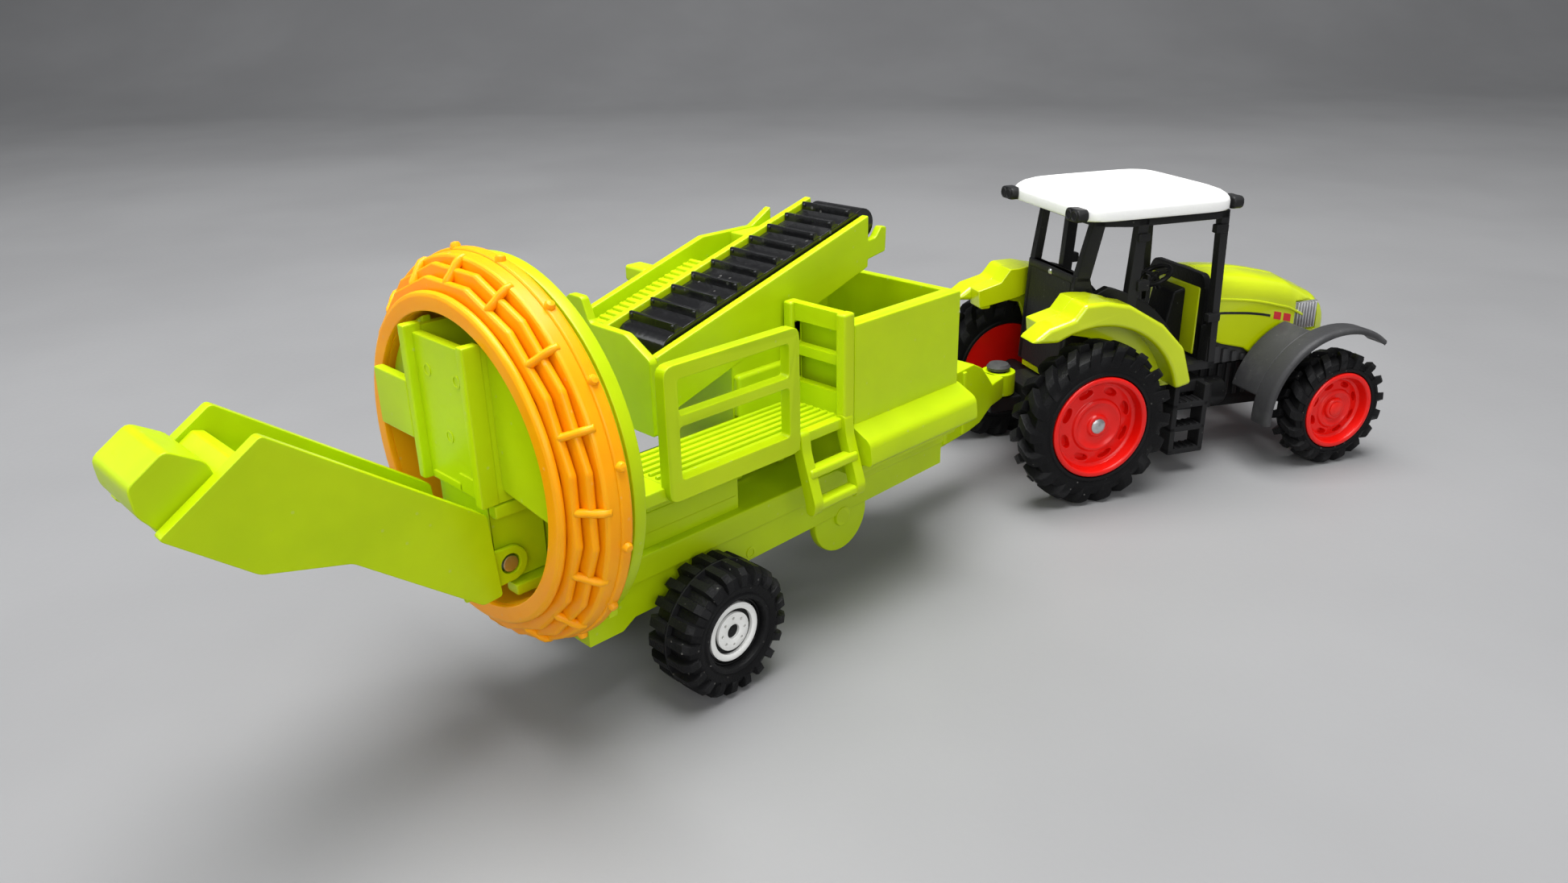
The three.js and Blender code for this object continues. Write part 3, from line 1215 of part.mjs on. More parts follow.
function buildTractor() {
  addPiece(tractor, 'tractor_chassis', tractorChassis(), BLACK, 0.6);
  addPiece(tractor, 'tractor_casting', tractorCasting(), GLOSS_GREEN, 0.22);
  addPiece(tractor, 'cab_frame', cabFrame(), BLACK, 0.5);
  addPiece(tractor, 'roof', roofShell(), WHITE, 0.45);
  addPiece(tractor, 'seat', seat(), BLACK, 0.6);
  const wheel = addPiece(tractor, 'steering_wheel', steeringWheel(), BLACK, 0.5);
  wheel.position.set(CAB_FRONT_X - 5.6, 0, FLOOR_Z + 16.2);
  wheel.rotation.y = -THREE.MathUtils.degToRad(28);
  addPiece(tractor, 'hitch_pin', hitchPin(), DARK_GREY, 0.4, 0.6);
  for (const side of SIDES) {
    const word = sideWord(side);
    addPiece(tractor, `headlight_${word}`, headlight(side), STEEL, 0.3, 0.6);
    addPiece(tractor, `front_guard_${word}`, frontGuard(side), DARK_GREY, 0.55);
    addPiece(tractor, `roof_lamp_rear_${word}`, roofLamp(true, side), BLACK, 0.4);
    addPiece(tractor, `roof_lamp_front_${word}`, roofLamp(false, side), BLACK, 0.4);
  }
  addWheelPair(tractor, 'rear', {
    x: REAR_AXLE_X,
    radius: REAR_WHEEL_R,
    width: REAR_TYRE_WIDTH,
    track: TRACTOR_TRACK,
    headOut: REAR_TYRE_WIDTH * 0.32,
    rimColor: RED,
    tyre: () => barTyre(REAR_WHEEL_R, REAR_RIM_R + GAP, REAR_TYRE_WIDTH, 16, 0.17),
    rim: (bore) => dishedRim(REAR_RIM_R, REAR_TYRE_WIDTH, bore),
  });
  addWheelPair(tractor, 'front', {
    x: FRONT_AXLE_X,
    radius: FRONT_WHEEL_R,
    width: FRONT_TYRE_WIDTH,
    track: TRACTOR_TRACK,
    headOut: FRONT_TYRE_WIDTH * 0.32,
    rimColor: RED,
    tyre: () => barTyre(FRONT_WHEEL_R, FRONT_RIM_R + GAP, FRONT_TYRE_WIDTH, 15, 0.19),
    rim: (bore) => dishedRim(FRONT_RIM_R, FRONT_TYRE_WIDTH, bore),
  });
}

// ---------------------------------------------------------------- the whole machine
buildHarvester();
buildTractor();
tractor.position.set(HITCH_X, 0, 0);
tractor.rotation.z = THREE.MathUtils.degToRad(TRACTOR_HEADING);

// The origin is the middle of the footprint, on the ground.
machine.updateMatrixWorld(true);
const extent = new THREE.Box3().setFromObject(machine, true);
const middle = extent.getCenter(new THREE.Vector3());
machine.position.set(-middle.x, -middle.y, -extent.min.z);
machine.updateMatrixWorld(true);

export default machine;
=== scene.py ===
"""A toy farm tractor and its towed crop harvester: moulded shells, turned wheels and their finishes."""
import math

import bmesh
import bpy
from mathutils import Matrix, Vector


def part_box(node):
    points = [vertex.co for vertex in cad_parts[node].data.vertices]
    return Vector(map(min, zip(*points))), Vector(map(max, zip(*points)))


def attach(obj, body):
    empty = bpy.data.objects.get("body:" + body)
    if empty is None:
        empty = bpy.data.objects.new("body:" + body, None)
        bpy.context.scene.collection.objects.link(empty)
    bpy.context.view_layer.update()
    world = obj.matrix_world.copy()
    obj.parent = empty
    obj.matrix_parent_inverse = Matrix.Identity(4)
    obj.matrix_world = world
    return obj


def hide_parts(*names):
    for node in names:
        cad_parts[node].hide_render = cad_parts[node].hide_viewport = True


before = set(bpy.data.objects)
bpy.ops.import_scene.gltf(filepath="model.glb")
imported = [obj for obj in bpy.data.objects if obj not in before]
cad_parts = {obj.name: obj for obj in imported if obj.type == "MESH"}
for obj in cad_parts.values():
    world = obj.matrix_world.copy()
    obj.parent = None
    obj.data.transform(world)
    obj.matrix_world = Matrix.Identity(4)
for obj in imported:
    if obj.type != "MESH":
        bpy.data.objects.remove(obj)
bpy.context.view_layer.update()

# ---------------------------------------------------------------- places, in millimetres
MM = 0.001
HEADING = math.radians(-27)          # the tractor's turn at the hitch


def middle(node):
    low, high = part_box(node)
    return (low + high) / 2


axle_middle = middle("harvester_axle")
pin_middle = middle("hitch_pin")
IN_MM = Matrix.Scale(MM, 4)
HARVESTER = Matrix.Translation((axle_middle.x, axle_middle.y, 0)) @ IN_MM
TRACTOR = Matrix.Translation((pin_middle.x, pin_middle.y, 0)) @ Matrix.Rotation(HEADING, 4, "Z") @ IN_MM

# Harvester
TRAIL_WHEEL_R = 8.8
TRAIL_TYRE_WIDTH = 8.2
TRAIL_MIDDLE_Y = 13.6
HUB_R = 4.6
HUB_BORE_R = 0.9
HUB_HOLES = 8
HUB_HOLE_R = 0.21
HUB_HOLE_RING_R = 1.86
FRAME_X = (-16.0, 52.0)
FRAME_HALF = 8.6
RAIL_HALF = 9.2
SKIRT_Z = 11.6
RAIL_Z = (16.3, 19.8)
DECK_BOX_Z = 24.4
HITCH_X = 79.4
EYE_Z = (15.0, 19.0)
HOPPER_X = (26.2, 49.2)
HOPPER_HALF = 13.2
HOPPER_Z = (20.1, 42.0)
WALL = 1.3
PIN_BORE_R = 1.25        # every hole that an axle or the arm's pin runs through
EAR_BORE_R = 1.2
BELT_Y = (-0.5, 8.9)
BELT_X = (6.3, 42.2)
BELT_TOP = 42.95
BELT_SLOPE = 0.2877
ROLLER_R = 2.2
CONVEYOR_Y = (-2.1, 10.5)
TROUGH_FAR_Y = 17.3
RING_Z = 35.1
RING_X = (-25.2, -18.7)
RING_INNER = 17.1
RING_PITCH = math.tau / 16
DISC_R = 22.2
ARM_PIVOT = (-23.6, 23.985)
ARM_HALF = 6.8
PLATFORM_X = (-6.7, 25.0)
PLATFORM_Y = -14.0
PLATFORM_Z = 30.2
RAILING_Z = 44.6
STEP_X = (15.0, 25.0)

# Tractor, from the hitch pin
RIM_SLOTS = 8
REAR_AXLE_X = 9.0
FRONT_AXLE_X = 58.3
REAR_WHEEL_R = 14.0
REAR_RIM_R = 8.8
REAR_TYRE_WIDTH = 6.6
FRONT_WHEEL_R = 10.35
FRONT_RIM_R = 7.0
FRONT_TYRE_WIDTH = 6.2
HALF_TRACK = 19.5
ARCH_R = 16.4
CASTING_HALF = 12.4
CAB_HALF = 11.1
CAB_REAR_HALF = 7.2
CAB_FRONT_X = 36.0
FLOOR_Z = 17.0
CAB_FLOOR_Z = 18.5
ROOF_Z = (46.9, 51.3)
ROOF_X = (6.8, 35.8)
ROOF_HALF = 13.4
HOOD_HALF = 7.2
HOOD_TOP = 34.4
HOOD_FRONT_X = 65.7
GUARD_R = 14.0


def belt_top(x):
    return BELT_TOP + (x - BELT_X[0]) * BELT_SLOPE


BELT_TILT = math.atan(BELT_SLOPE)
BELT_THICK = 2 * ROLLER_R / math.cos(BELT_TILT)


def conveyor_low(x):
    return belt_top(x) - BELT_THICK - 3.9


# ---------------------------------------------------------------- shader arithmetic
class Value:
    """A shader socket that takes part in arithmetic."""

    def __init__(self, graph, socket):
        self.graph = graph
        self.socket = socket

    def math(self, operation, *others, reflected=False):
        terms = [self, *others]
        if reflected:
            terms.reverse()
        settings = {"operation": operation}
        return self.graph.node("ShaderNodeMath", settings, *terms)["Value"]

    def __add__(self, other):
        return self.math("ADD", other)

    __radd__ = __add__

    def __mul__(self, other):
        return self.math("MULTIPLY", other)

    __rmul__ = __mul__

    def __sub__(self, other):
        return self.math("SUBTRACT", other)

    def __rsub__(self, other):
        return self.math("SUBTRACT", other, reflected=True)

    def band(self, low, high):
        """0 below low, 1 above high, smooth between."""
        settings = {"interpolation_type": "SMOOTHSTEP"}
        inputs = {"Value": self, "From Min": low, "From Max": high}
        return self.graph.node("ShaderNodeMapRange", settings, **inputs)["Result"]


def socket_of(sockets, name):
    """The socket with this identifier, or else with this name."""
    return next((each for each in sockets if each.identifier == name), None) or sockets[name]


class Outputs:
    def __init__(self, graph, node):
        self.graph = graph
        self.made = node

    def __getitem__(self, name):
        return Value(self.graph, socket_of(self.made.outputs, name))


class Finish:
    """One material's node graph."""

    def __init__(self, name, **constants):
        self.material = bpy.data.materials.new(name)
        self.material.use_nodes = True
        self.tree = self.material.node_tree
        self.shader = self.tree.nodes["Principled BSDF"]
        for socket, value in constants.items():
            self.shader.inputs[socket.replace("_", " ")].default_value = value
        self.place = self.node("ShaderNodeTexCoord")["Object"]

    def node(self, kind, settings=None, *terms, **inputs):
        made = self.tree.nodes.new(kind)
        for key, value in (settings or {}).items():
            setattr(made, key, value)
        for index, term in enumerate(terms):
            self.feed(made.inputs[index], term)
        for name, term in inputs.items():
            self.feed(socket_of(made.inputs, name), term)
        return Outputs(self, made)

    def feed(self, socket, term):
        if isinstance(term, Value):
            self.tree.links.new(term.socket, socket)
        else:
            socket.default_value = term

    def stretched(self, scale):
        return self.node("ShaderNodeVectorMath", {"operation": "MULTIPLY"}, self.place, scale)["Vector"]

    def noise(self, scale, detail=3.0, roughness=0.5, along=None):
        place = self.stretched(along) if along else self.place
        inputs = {"Vector": place, "Scale": scale, "Detail": detail, "Roughness": roughness}
        return self.node("ShaderNodeTexNoise", None, **inputs)["Fac"]

    def cells(self, scale, feature="F1"):
        inputs = {"Vector": self.place, "Scale": scale}
        return self.node("ShaderNodeTexVoronoi", {"feature": feature}, **inputs)["Distance"]

    def mix(self, share, first, second):
        settings = {"data_type": "RGBA"}
        inputs = {"Factor_Float": share, "A_Color": first, "B_Color": second}
        return self.node("ShaderNodeMix", settings, **inputs)["Result_Color"]

    def edges(self):
        """Near 1 on convex outer edges, from how sharply the surface turns; the finishes paint a highlight
        there with it.
        """
        return self.node("ShaderNodeNewGeometry")["Pointiness"].band(0.52, 0.60)

    def colour(self, term):
        self.feed(self.shader.inputs["Base Color"], term)

    def rough(self, term):
        self.feed(self.shader.inputs["Roughness"], term)

    def bump(self, height, distance, strength=1.0):
        inputs = {"Height": height, "Distance": distance, "Strength": strength}
        made = self.node("ShaderNodeBump", None, **inputs)["Normal"]
        self.feed(self.shader.inputs["Normal"], made)
        return self.material


def linear(red, green, blue):
    """A colour from its 0 to 255 display values."""
    parts = []
    for part in (red, green, blue):
        share = part / 255
        parts.append(share / 12.92 if share <= 0.04045 else ((share + 0.055) / 1.055) ** 2.4)
    return (*parts, 1.0)


# ---------------------------------------------------------------- finishes
def moulded_plastic(name, base, shade, glow, glow_radius):
    """Glossy injection-moulded plastic: faint flow clouds, a fine skin, small scuffs and a painted highlight
    along the edges.
    """
    finish = Finish(
        name,
        Subsurface_Weight=glow,
        Subsurface_Radius=glow_radius,
        Subsurface_Scale=0.0010,
        Specular_IOR_Level=0.20,
        Coat_Weight=0.06,
        Coat_Roughness=0.16,
    )
    clouds = finish.noise(90, 3, 0.55)
    scuffs = finish.noise(1500, 2, 0.6, along=(1.0, 0.25, 0.6)).band(0.60, 0.72)
    specks = finish.cells(420).band(0.10, 0.05)
    tint = finish.mix(clouds.band(0.3, 0.7), shade, base)
    # Painted highlight: a paler, brighter copy of the colour goes on the convex edges.
    pale = (min(1.0, base[0] * 1.25), min(1.0, base[1] * 1.2), base[2] * 2 + 0.01, 1.0)
    tint = finish.mix(finish.edges() * 0.35, tint, pale)
    finish.colour(finish.mix(specks * 0.12, tint, (0.55, 0.55, 0.45, 1)))
    finish.rough(0.33 + clouds * 0.08 + scuffs * 0.10)
    skin = finish.noise(2600, 2, 0.5)
    ripple = finish.noise(160, 1, 0.4)
    return finish.bump(skin * 0.12 + ripple * 0.9, 0.00016, 0.35)


def lime():
    return moulded_plastic(
        "lime_plastic", linear(180, 206, 0), linear(170, 196, 0), 0.14, (0.6, 1.0, 0.03)
    )


def orange():
    return moulded_plastic(
        "orange_plastic", linear(255, 168, 0), linear(252, 156, 0), 0.20, (1.0, 0.5, 0.05)
    )


def casting_paint():
    """Thick gloss enamel over the casting, with orange peel and a brighter green painted on its edges as a
    highlight.
    """
    finish = Finish(
        "green_paint",
        Coat_Weight=0.55,
        Coat_Roughness=0.07,
        Specular_IOR_Level=0.4,
    )
    clouds = finish.noise(70, 3, 0.5)
    tint = finish.mix(clouds.band(0.3, 0.7), linear(188, 204, 0), linear(198, 214, 0))
    # Painted highlight: convex edges take a brighter green.
    finish.colour(finish.mix(finish.edges() * 0.3, tint, linear(218, 230, 30)))
    finish.rough(0.20 + clouds * 0.10)
    peel = finish.noise(420, 2, 0.5)
    return finish.bump(peel, 0.00014, 0.30)


def belt_gloss():
    """Black moulded belt, polished on top, with pale dust in the corners of the cleats."""
    finish = Finish("belt_black", Specular_IOR_Level=0.5)
    dust = finish.cells(520).band(0.16, 0.08) * finish.noise(60, 2).band(0.42, 0.62)
    film = finish.noise(240, 4, 0.6).band(0.5, 0.75)
    tint = finish.mix(film * 0.35, (0.006, 0.006, 0.0065, 1), (0.018, 0.018, 0.019, 1))
    finish.colour(finish.mix(dust * 0.22, tint, (0.42, 0.41, 0.38, 1)))
    finish.rough(0.18 + film * 0.18 + dust * 0.3)
    return finish.bump(finish.noise(900, 3), 0.00012, 0.4)


def satin_black(name, level, roughness):
    finish = Finish(name, Specular_IOR_Level=0.16)
    film = finish.noise(160, 4, 0.6)
    grime = finish.cells(600).band(0.10, 0.05)
    dark = (level, level, level * 1.05, 1)
    light = (level * 1.7 + 0.002, level * 1.7 + 0.002, level * 1.7 + 0.002, 1)
    tint = finish.mix(film.band(0.45, 0.8), dark, light)
    # Painted highlight: convex edges take a lighter grey.
    tint = finish.mix(finish.edges() * 0.5, tint, (level + 0.03, level + 0.03, level + 0.031, 1))
    finish.colour(finish.mix(grime * 0.15, tint, (0.3, 0.3, 0.28, 1)))
    finish.rough(roughness + film * 0.16)
    return finish.bump(finish.noise(1900, 3, 0.6), 0.00010, 0.5)


def tyre_rubber():
    """Soft black tyre: fine matte grain, a dusty bloom, and a lighter grey painted on the lug edges as a
    highlight.
    """
    finish = Finish("tyre_rubber", Specular_IOR_Level=0.13)
    bloom = finish.noise(120, 4, 0.6)
    tint = finish.mix(bloom.band(0.4, 0.75), (0.004, 0.004, 0.0044, 1), (0.008, 0.008, 0.0085, 1))
    # Painted highlight: the lug edges take a lighter grey.
    tint = finish.mix(finish.edges() * 0.5, tint, (0.024, 0.024, 0.025, 1))
    dust = finish.cells(700).band(0.12, 0.06) * finish.noise(50, 2).band(0.45, 0.6)
    finish.colour(finish.mix(dust * 0.35, tint, (0.30, 0.29, 0.27, 1)))
    finish.rough(0.36 + bloom * 0.20)
    return finish.bump(finish.noise(2400, 3, 0.6), 0.00014, 0.6)


def gloss_paint(name, base, shade, edge):
    """Smooth sprayed paint with a soft coat, and the edge colour painted on convex edges as a highlight."""
    finish = Finish(name, Coat_Weight=0.15, Coat_Roughness=0.15, Specular_IOR_Level=0.34)
    clouds = finish.noise(140, 3, 0.5)
    tint = finish.mix(clouds.band(0.3, 0.7), shade, base)
    # Painted highlight: convex edges take the lighter edge colour.
    finish.colour(finish.mix(finish.edges() * 0.35, tint, edge))
    finish.rough(0.24 + clouds * 0.12)
    return finish.bump(finish.noise(700, 2), 0.00010, 0.35)


def red_rim():
    # The last colour is the painted highlight on the edges.
    return gloss_paint("rim_red", linear(232, 20, 10), linear(220, 14, 6), linear(244, 50, 30))


def hub_white():
    # The last colour is the painted highlight on the edges.
    return gloss_paint("hub_white", linear(240, 240, 236), linear(228, 229, 224), linear(250, 250, 248))


def roof_white():
    """Plain white plastic with a faint skin."""
    finish = Finish(
        "roof_white",
        Subsurface_Weight=0.08,
        Subsurface_Radius=(1.0, 1.0, 1.0),
        Subsurface_Scale=0.0008,
        Coat_Weight=0.1,
        Coat_Roughness=0.3,
    )
    clouds = finish.noise(60, 3)
    finish.colour(finish.mix(clouds.band(0.3, 0.7), linear(244, 244, 241), linear(251, 251, 249)))
    finish.rough(0.38 + clouds * 0.10)
    return finish.bump(finish.noise(1600, 2), 0.00010, 0.3)


def bare_steel(name="steel", level=0.62, roughness=0.24):
    """Pin steel: bright, with turned lines and small dull spots."""
    finish = Finish(name, Metallic=1.0, Specular_IOR_Level=0.5)
    spots = finish.noise(700, 4, 0.6)
    bright = (level, level, level * 1.02, 1)
    dull = (level * 0.62, level * 0.60, level * 0.58, 1)
    finish.colour(finish.mix(spots.band(0.5, 0.8), bright, dull))
    finish.rough(roughness + spots * 0.18)
    return finish.bump(finish.noise(2600, 2, 0.5, along=(1, 0.1, 1)), 0.00006, 0.4)


def print_ink(name, tone):
    """A thin opaque print that shows the plastic's skin."""
    finish = Finish(name, Specular_IOR_Level=0.5)
    wear = finish.noise(1400, 3, 0.6)
    faded = (*[part * 0.8 + 0.03 for part in tone[:3]], 1.0)
    finish.colour(finish.mix(wear.band(0.55, 0.75), tone, faded))
    finish.rough(0.36 + wear * 0.12)
    return finish.bump(wear, 0.00005, 0.3)


FINISHES = {
    "lime": lime(),
    "orange": orange(),
    "paint": casting_paint(),
    "belt": belt_gloss(),
    "black": satin_black("black_plastic", 0.004, 0.28),
    "grey": satin_black("dark_grey_plastic", 0.040, 0.34),
    "tyre": tyre_rubber(),
    "red": red_rim(),
    "white_hub": hub_white(),
    "white_roof": roof_white(),
    "steel": bare_steel(),
    "silver": bare_steel("lamp_silver", 0.72, 0.30),
    "ink_dark": print_ink("dark_print", linear(26, 27, 29)),
    "ink_red": print_ink("red_print", linear(205, 38, 48)),
}
SLOTS = {
    "lime": "lime_plastic",
    "orange": "orange_plastic",
    "paint": "green_paint",
    "belt": "belt_black",
    "black": "black_plastic",
    "grey": "dark_grey_plastic",
    "tyre": "tyre_rubber",
    "red": "rim_red",
    "white_hub": "hub_white",
    "white_roof": "roof_white",
    "steel": "steel",
    "silver": "lamp_silver",
    "ink_dark": "black_plastic",
    "ink_red": "rim_red",
}


# ---------------------------------------------------------------- shapes, in millimetres
def spot(along, u, v, w):
    """A point of an outline (u, v) at w along the axis it is drawn out on."""
    return {"x": (w, u, v), "y": (u, w, v), "z": (u, v, w)}[along]


def lofted(sections, closed=False):
    """A closed skin over sections with the same number of points each."""
    shape = bmesh.new()
    rows = [[shape.verts.new(point) for point in section] for section in sections]
    count = len(rows[0])
    pairs = list(zip(rows, rows[1:]))
    if closed:
        pairs.append((rows[-1], rows[0]))
    for first, second in pairs:
        for i in range(count):
            j = (i + 1) % count
            shape.faces.new((first[i], first[j], second[j], second[i]))
    if not closed:
        shape.faces.new(rows[0])
        shape.faces.new(rows[-1])
    bmesh.ops.recalc_face_normals(shape, faces=shape.faces)
    return shape


def drawn(outline, low, high, along="y"):
    """An outline drawn out from low to high along an axis."""
    return lofted([[spot(along, u, v, w) for u, v in outline] for w in (low, high)])


def box(xs, ys, zs):
    x0, x1 = sorted(xs)
    y0, y1 = sorted(ys)
    return drawn([(x0, zs[0]), (x1, zs[0]), (x1, zs[1]), (x0, zs[1])], y0, y1)


def ring_of(along, centre, radius, w, count, phase=0.0):
    u0, v0 = centre
    turns = [phase + math.tau * i / count for i in range(count)]
    return [spot(along, u0 + radius * math.cos(t), v0 + radius * math.sin(t), w) for t in turns]


def rod(along, centre, radius, low, high, count=28):
    return lofted([ring_of(along, centre, radius, w, count) for w in (low, high)])


def revolved(along, centre, profile, count=48, phase=0.0):
    """A closed profile of (radius, distance along) points turned about an axis."""
    return lofted([ring_of(along, centre, r, w, count, phase) for r, w in profile], closed=True)


def arc(centre, radius, start, end, steps):
    points = []
    for i in range(steps + 1):
        angle = math.radians(start + (end - start) * i / steps)
        points.append((centre[0] + radius * math.cos(angle), centre[1] + radius * math.sin(angle)))
    return points


def softened(outline, radius, steps=3):
    """An outline with its corners cut to arcs."""
    points = []
    count = len(outline)
    for i, corner in enumerate(outline):
        here = Vector(corner)
        back = Vector(outline[i - 1]) - here
        ahead = Vector(outline[(i + 1) % count]) - here
        reach = min(radius, back.length * 0.45, ahead.length * 0.45)
        first = here + back.normalized() * reach
        last = here + ahead.normalized() * reach
        for step in range(steps + 1):
            t = step / steps
            points.append(tuple(first * (1 - t) ** 2 + here * 2 * t * (1 - t) + last * t * t))
    return points


def as_object(shape):
    mesh = bpy.data.meshes.new("blank")
    shape.to_mesh(mesh)
    shape.free()
    made = bpy.data.objects.new("blank", mesh)
    bpy.context.scene.collection.objects.link(made)
    return made


def carved(shape, *tools, operation="DIFFERENCE"):
    """The shape with the tools cut away from it."""
    blank = as_object(shape)
    cutters = [as_object(tool) for tool in tools]
    for cutter in cutters:
        modifier = blank.modifiers.new("Cut", "BOOLEAN")
        modifier.operation = operation
        modifier.solver = "EXACT"
        modifier.object = cutter
    result = bmesh.new()
    result.from_object(blank, bpy.context.evaluated_depsgraph_get())
    for used in [blank, *cutters]:
        mesh = used.data
        bpy.data.objects.remove(used)
        bpy.data.meshes.remove(mesh)
    bmesh.ops.remove_doubles(result, verts=result.verts, dist=0.002)
    return result


class Moulding:
    """One piece, gathered from closed shapes with rounded edges."""

    def __init__(self):
        self.mesh = bmesh.new()

    def add(self, shape, rounding=0.3, segments=2, sharper_than=24, turn=None):
        if rounding > 0:
            limit = math.radians(sharper_than)
            edges = [
                edge for edge in shape.edges
                if len(edge.link_faces) == 2 and edge.calc_face_angle(0) > limit
            ]
            settings = {"profile": 0.5, "affect": "EDGES", "clamp_overlap": True}
            bmesh.ops.bevel(shape, geom=edges, offset=rounding, segments=segments, **settings)
        if turn is not None:
            bmesh.ops.transform(shape, matrix=turn, verts=shape.verts)
        bmesh.ops.recalc_face_normals(shape, faces=shape.faces)
        mesh = bpy.data.meshes.new("blank")
        shape.to_mesh(mesh)
        shape.free()
        self.mesh.from_mesh(mesh)
        bpy.data.meshes.remove(mesh)
        return self

    def finished(self, name, finish, body, place, stands_for=(), crease=38):
        """The piece in its place, with its finish, riding on its body."""
        mesh = bpy.data.meshes.new(name)
        self.mesh.to_mesh(mesh)
        self.mesh.free()
        mesh.transform(place)
        for face in mesh.polygons:
            face.use_smooth = True
        mesh.set_sharp_from_angle(angle=math.radians(crease))
        mesh.materials.append(FINISHES[finish])
        made = bpy.data.objects.new(name, mesh)
        bpy.context.scene.collection.objects.link(made)
        shading = made.modifiers.new("Even shading", "WEIGHTED_NORMAL")
        shading.keep_sharp = True
        SLOTS[finish]
        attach(made, body)
        if stands_for:
            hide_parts(*stands_for)
        return made


SIDES = (("left", 1), ("right", -1))


def at(matrix, x, y, z):
    return matrix @ Matrix.Translation((x, y, z))


# ---------------------------------------------------------------- wheels
def tyre_walls(radius, width, bore, drop):
    """Half of a tyre's section from the bead to the middle of the tread."""
    half = width / 2
    tread = radius - drop
    return [
        (bore, half * 0.80),
        (bore + 0.25, half * 0.93),
        (bore + 0.7, half * 0.955),
        (bore + 0.95, half * 0.91),
        ((bore + tread) / 2, half * 0.965),
        (tread - 1.3, half * 0.93),
        (tread - 0.45, half * 0.80),
        (tread - 0.08, half * 0.55),
        (tread, 0.0),
    ]


def tyre(radius, width, bore, drop, lugs, lean, lug_width, lug_depth, groove, parting):
    """A rounded carcass and two rows of lugs that run over the shoulder on to the wall."""
    piece = Moulding()
    wall = tyre_walls(radius, width, bore, drop)
    section = [(r, -y) for r, y in wall] + [(r, y) for r, y in reversed(wall[:-1])]
    piece.add(revolved("y", (0, 0), section, 72), 0)
    if parting:
        ridge = [(radius - drop - 0.3, -0.2), (radius - drop + 0.70, -0.13), (radius - drop + 0.76, -0.07)]
        ridge += [(r, -y) for r, y in reversed(ridge)]
        piece.add(revolved("y", (0, 0), ridge, 72), 0)
    half = width / 2
    path = [
        (radius - drop, groove, 0.0),
        (radius - drop, half * 0.42, 0.35),
        (radius - drop - 0.1, half * 0.68, 0.62),
        (radius - drop - 0.7, half * 0.86, 0.84),
        (radius - drop - 1.5, half * 0.93, 1.0),
        (radius - drop - lug_depth, half * 0.94, 1.1),
    ]
    tops = [
        (radius * 0.998, groove),
        (radius * 0.998, half * 0.46),
        (radius * 0.992, half * 0.76),
        (radius - 0.75, half * 0.955),
        (radius - 1.75, half * 0.998),
        (radius - drop - lug_depth - 0.1, half * 0.97),
    ]
    pitch = math.tau / lugs
    for side in (1, -1):
        for i in range(lugs):
            start = i * pitch + (pitch / 2 if side > 0 else 0)
            sections = []
            for (low_r, low_y, share), (top_r, top_y) in zip(path, tops):
                middle_turn = start + lean * share
                wide = lug_width * (1 + 0.12 * share) / radius
                corners = []
                for r, y, offset in (
                    (low_r - 0.3, low_y * 0.98, -wide * 1.18),
                    (low_r - 0.3, low_y * 0.98, wide * 1.18),
                    (top_r, top_y, wide * 0.80),
                    (top_r, top_y, -wide * 0.80),
                ):
                    turn = middle_turn + offset
                    corners.append((r * math.cos(turn), side * y, r * math.sin(turn)))
                sections.append(corners)
            piece.add(lofted(sections), 0.17, 2, 30)
    return piece


def slotted_rim(radius, width, slots, slot_at, slot_size, boss):
    """A dished disc wheel with oval slots, a stepped boss and a rolled lip; it opens towards +Y."""
    half = width / 2
    section = [
        (1.25, -half * 0.85),
        (radius, -half * 0.85),
        (radius, half * 0.93),
        (radius - 0.25, half * 0.985),
        (radius - 0.75, half * 0.985),
        (radius - 1.0, half * 0.90),
        (radius - 1.25, half * 0.46),
        (radius - 1.7, half * 0.36),
        (boss + 1.9, half * 0.44),
        (boss + 0.7, half * 0.50),
        (boss + 0.45, half * 0.62),
        (boss, half * 0.66),
        (boss - 0.5, half * 0.54),
        (boss - 1.3, half * 0.52),
        (2.0, half * 0.55),
        (1.75, half * 0.68),
        (1.25, half * 0.68),
    ]
    disc = revolved("y", (0, 0), section, 64)
    cutters = []
    for i in range(slots):
        turn = math.tau * (i + 0.5) / slots
        long, short = slot_size
        oval = []
        for step in range(20):
            angle = math.tau * step / 20
            swing = turn + math.cos(angle) * long / slot_at
            reach = slot_at + math.sin(angle) * short
            oval.append((reach * math.cos(swing), reach * math.sin(swing)))
        cutters.append(drawn(oval, half * 0.05, half * 1.2))
    piece = Moulding()
    piece.add(carved(disc, *cutters), 0.10, 2, 34)
    return piece


def axle_pin(reach, head):
    """A steel pin right across the wheels, with a small riveted head at each end."""
    piece = Moulding()
    piece.add(rod("y", (0, 0), 1.0, -reach, reach, 24), 0.1)
    for side in (1, -1):
        profile = [(0.02, 0.0), (1.28, 0.0), (1.28, head * 0.5), (0.9, head * 0.9), (0.5, head), (0.02, head)]
        section = [(r, side * (reach + y)) for r, y in profile]
        piece.add(revolved("y", (0, 0), section, 24), 0)
    return piece


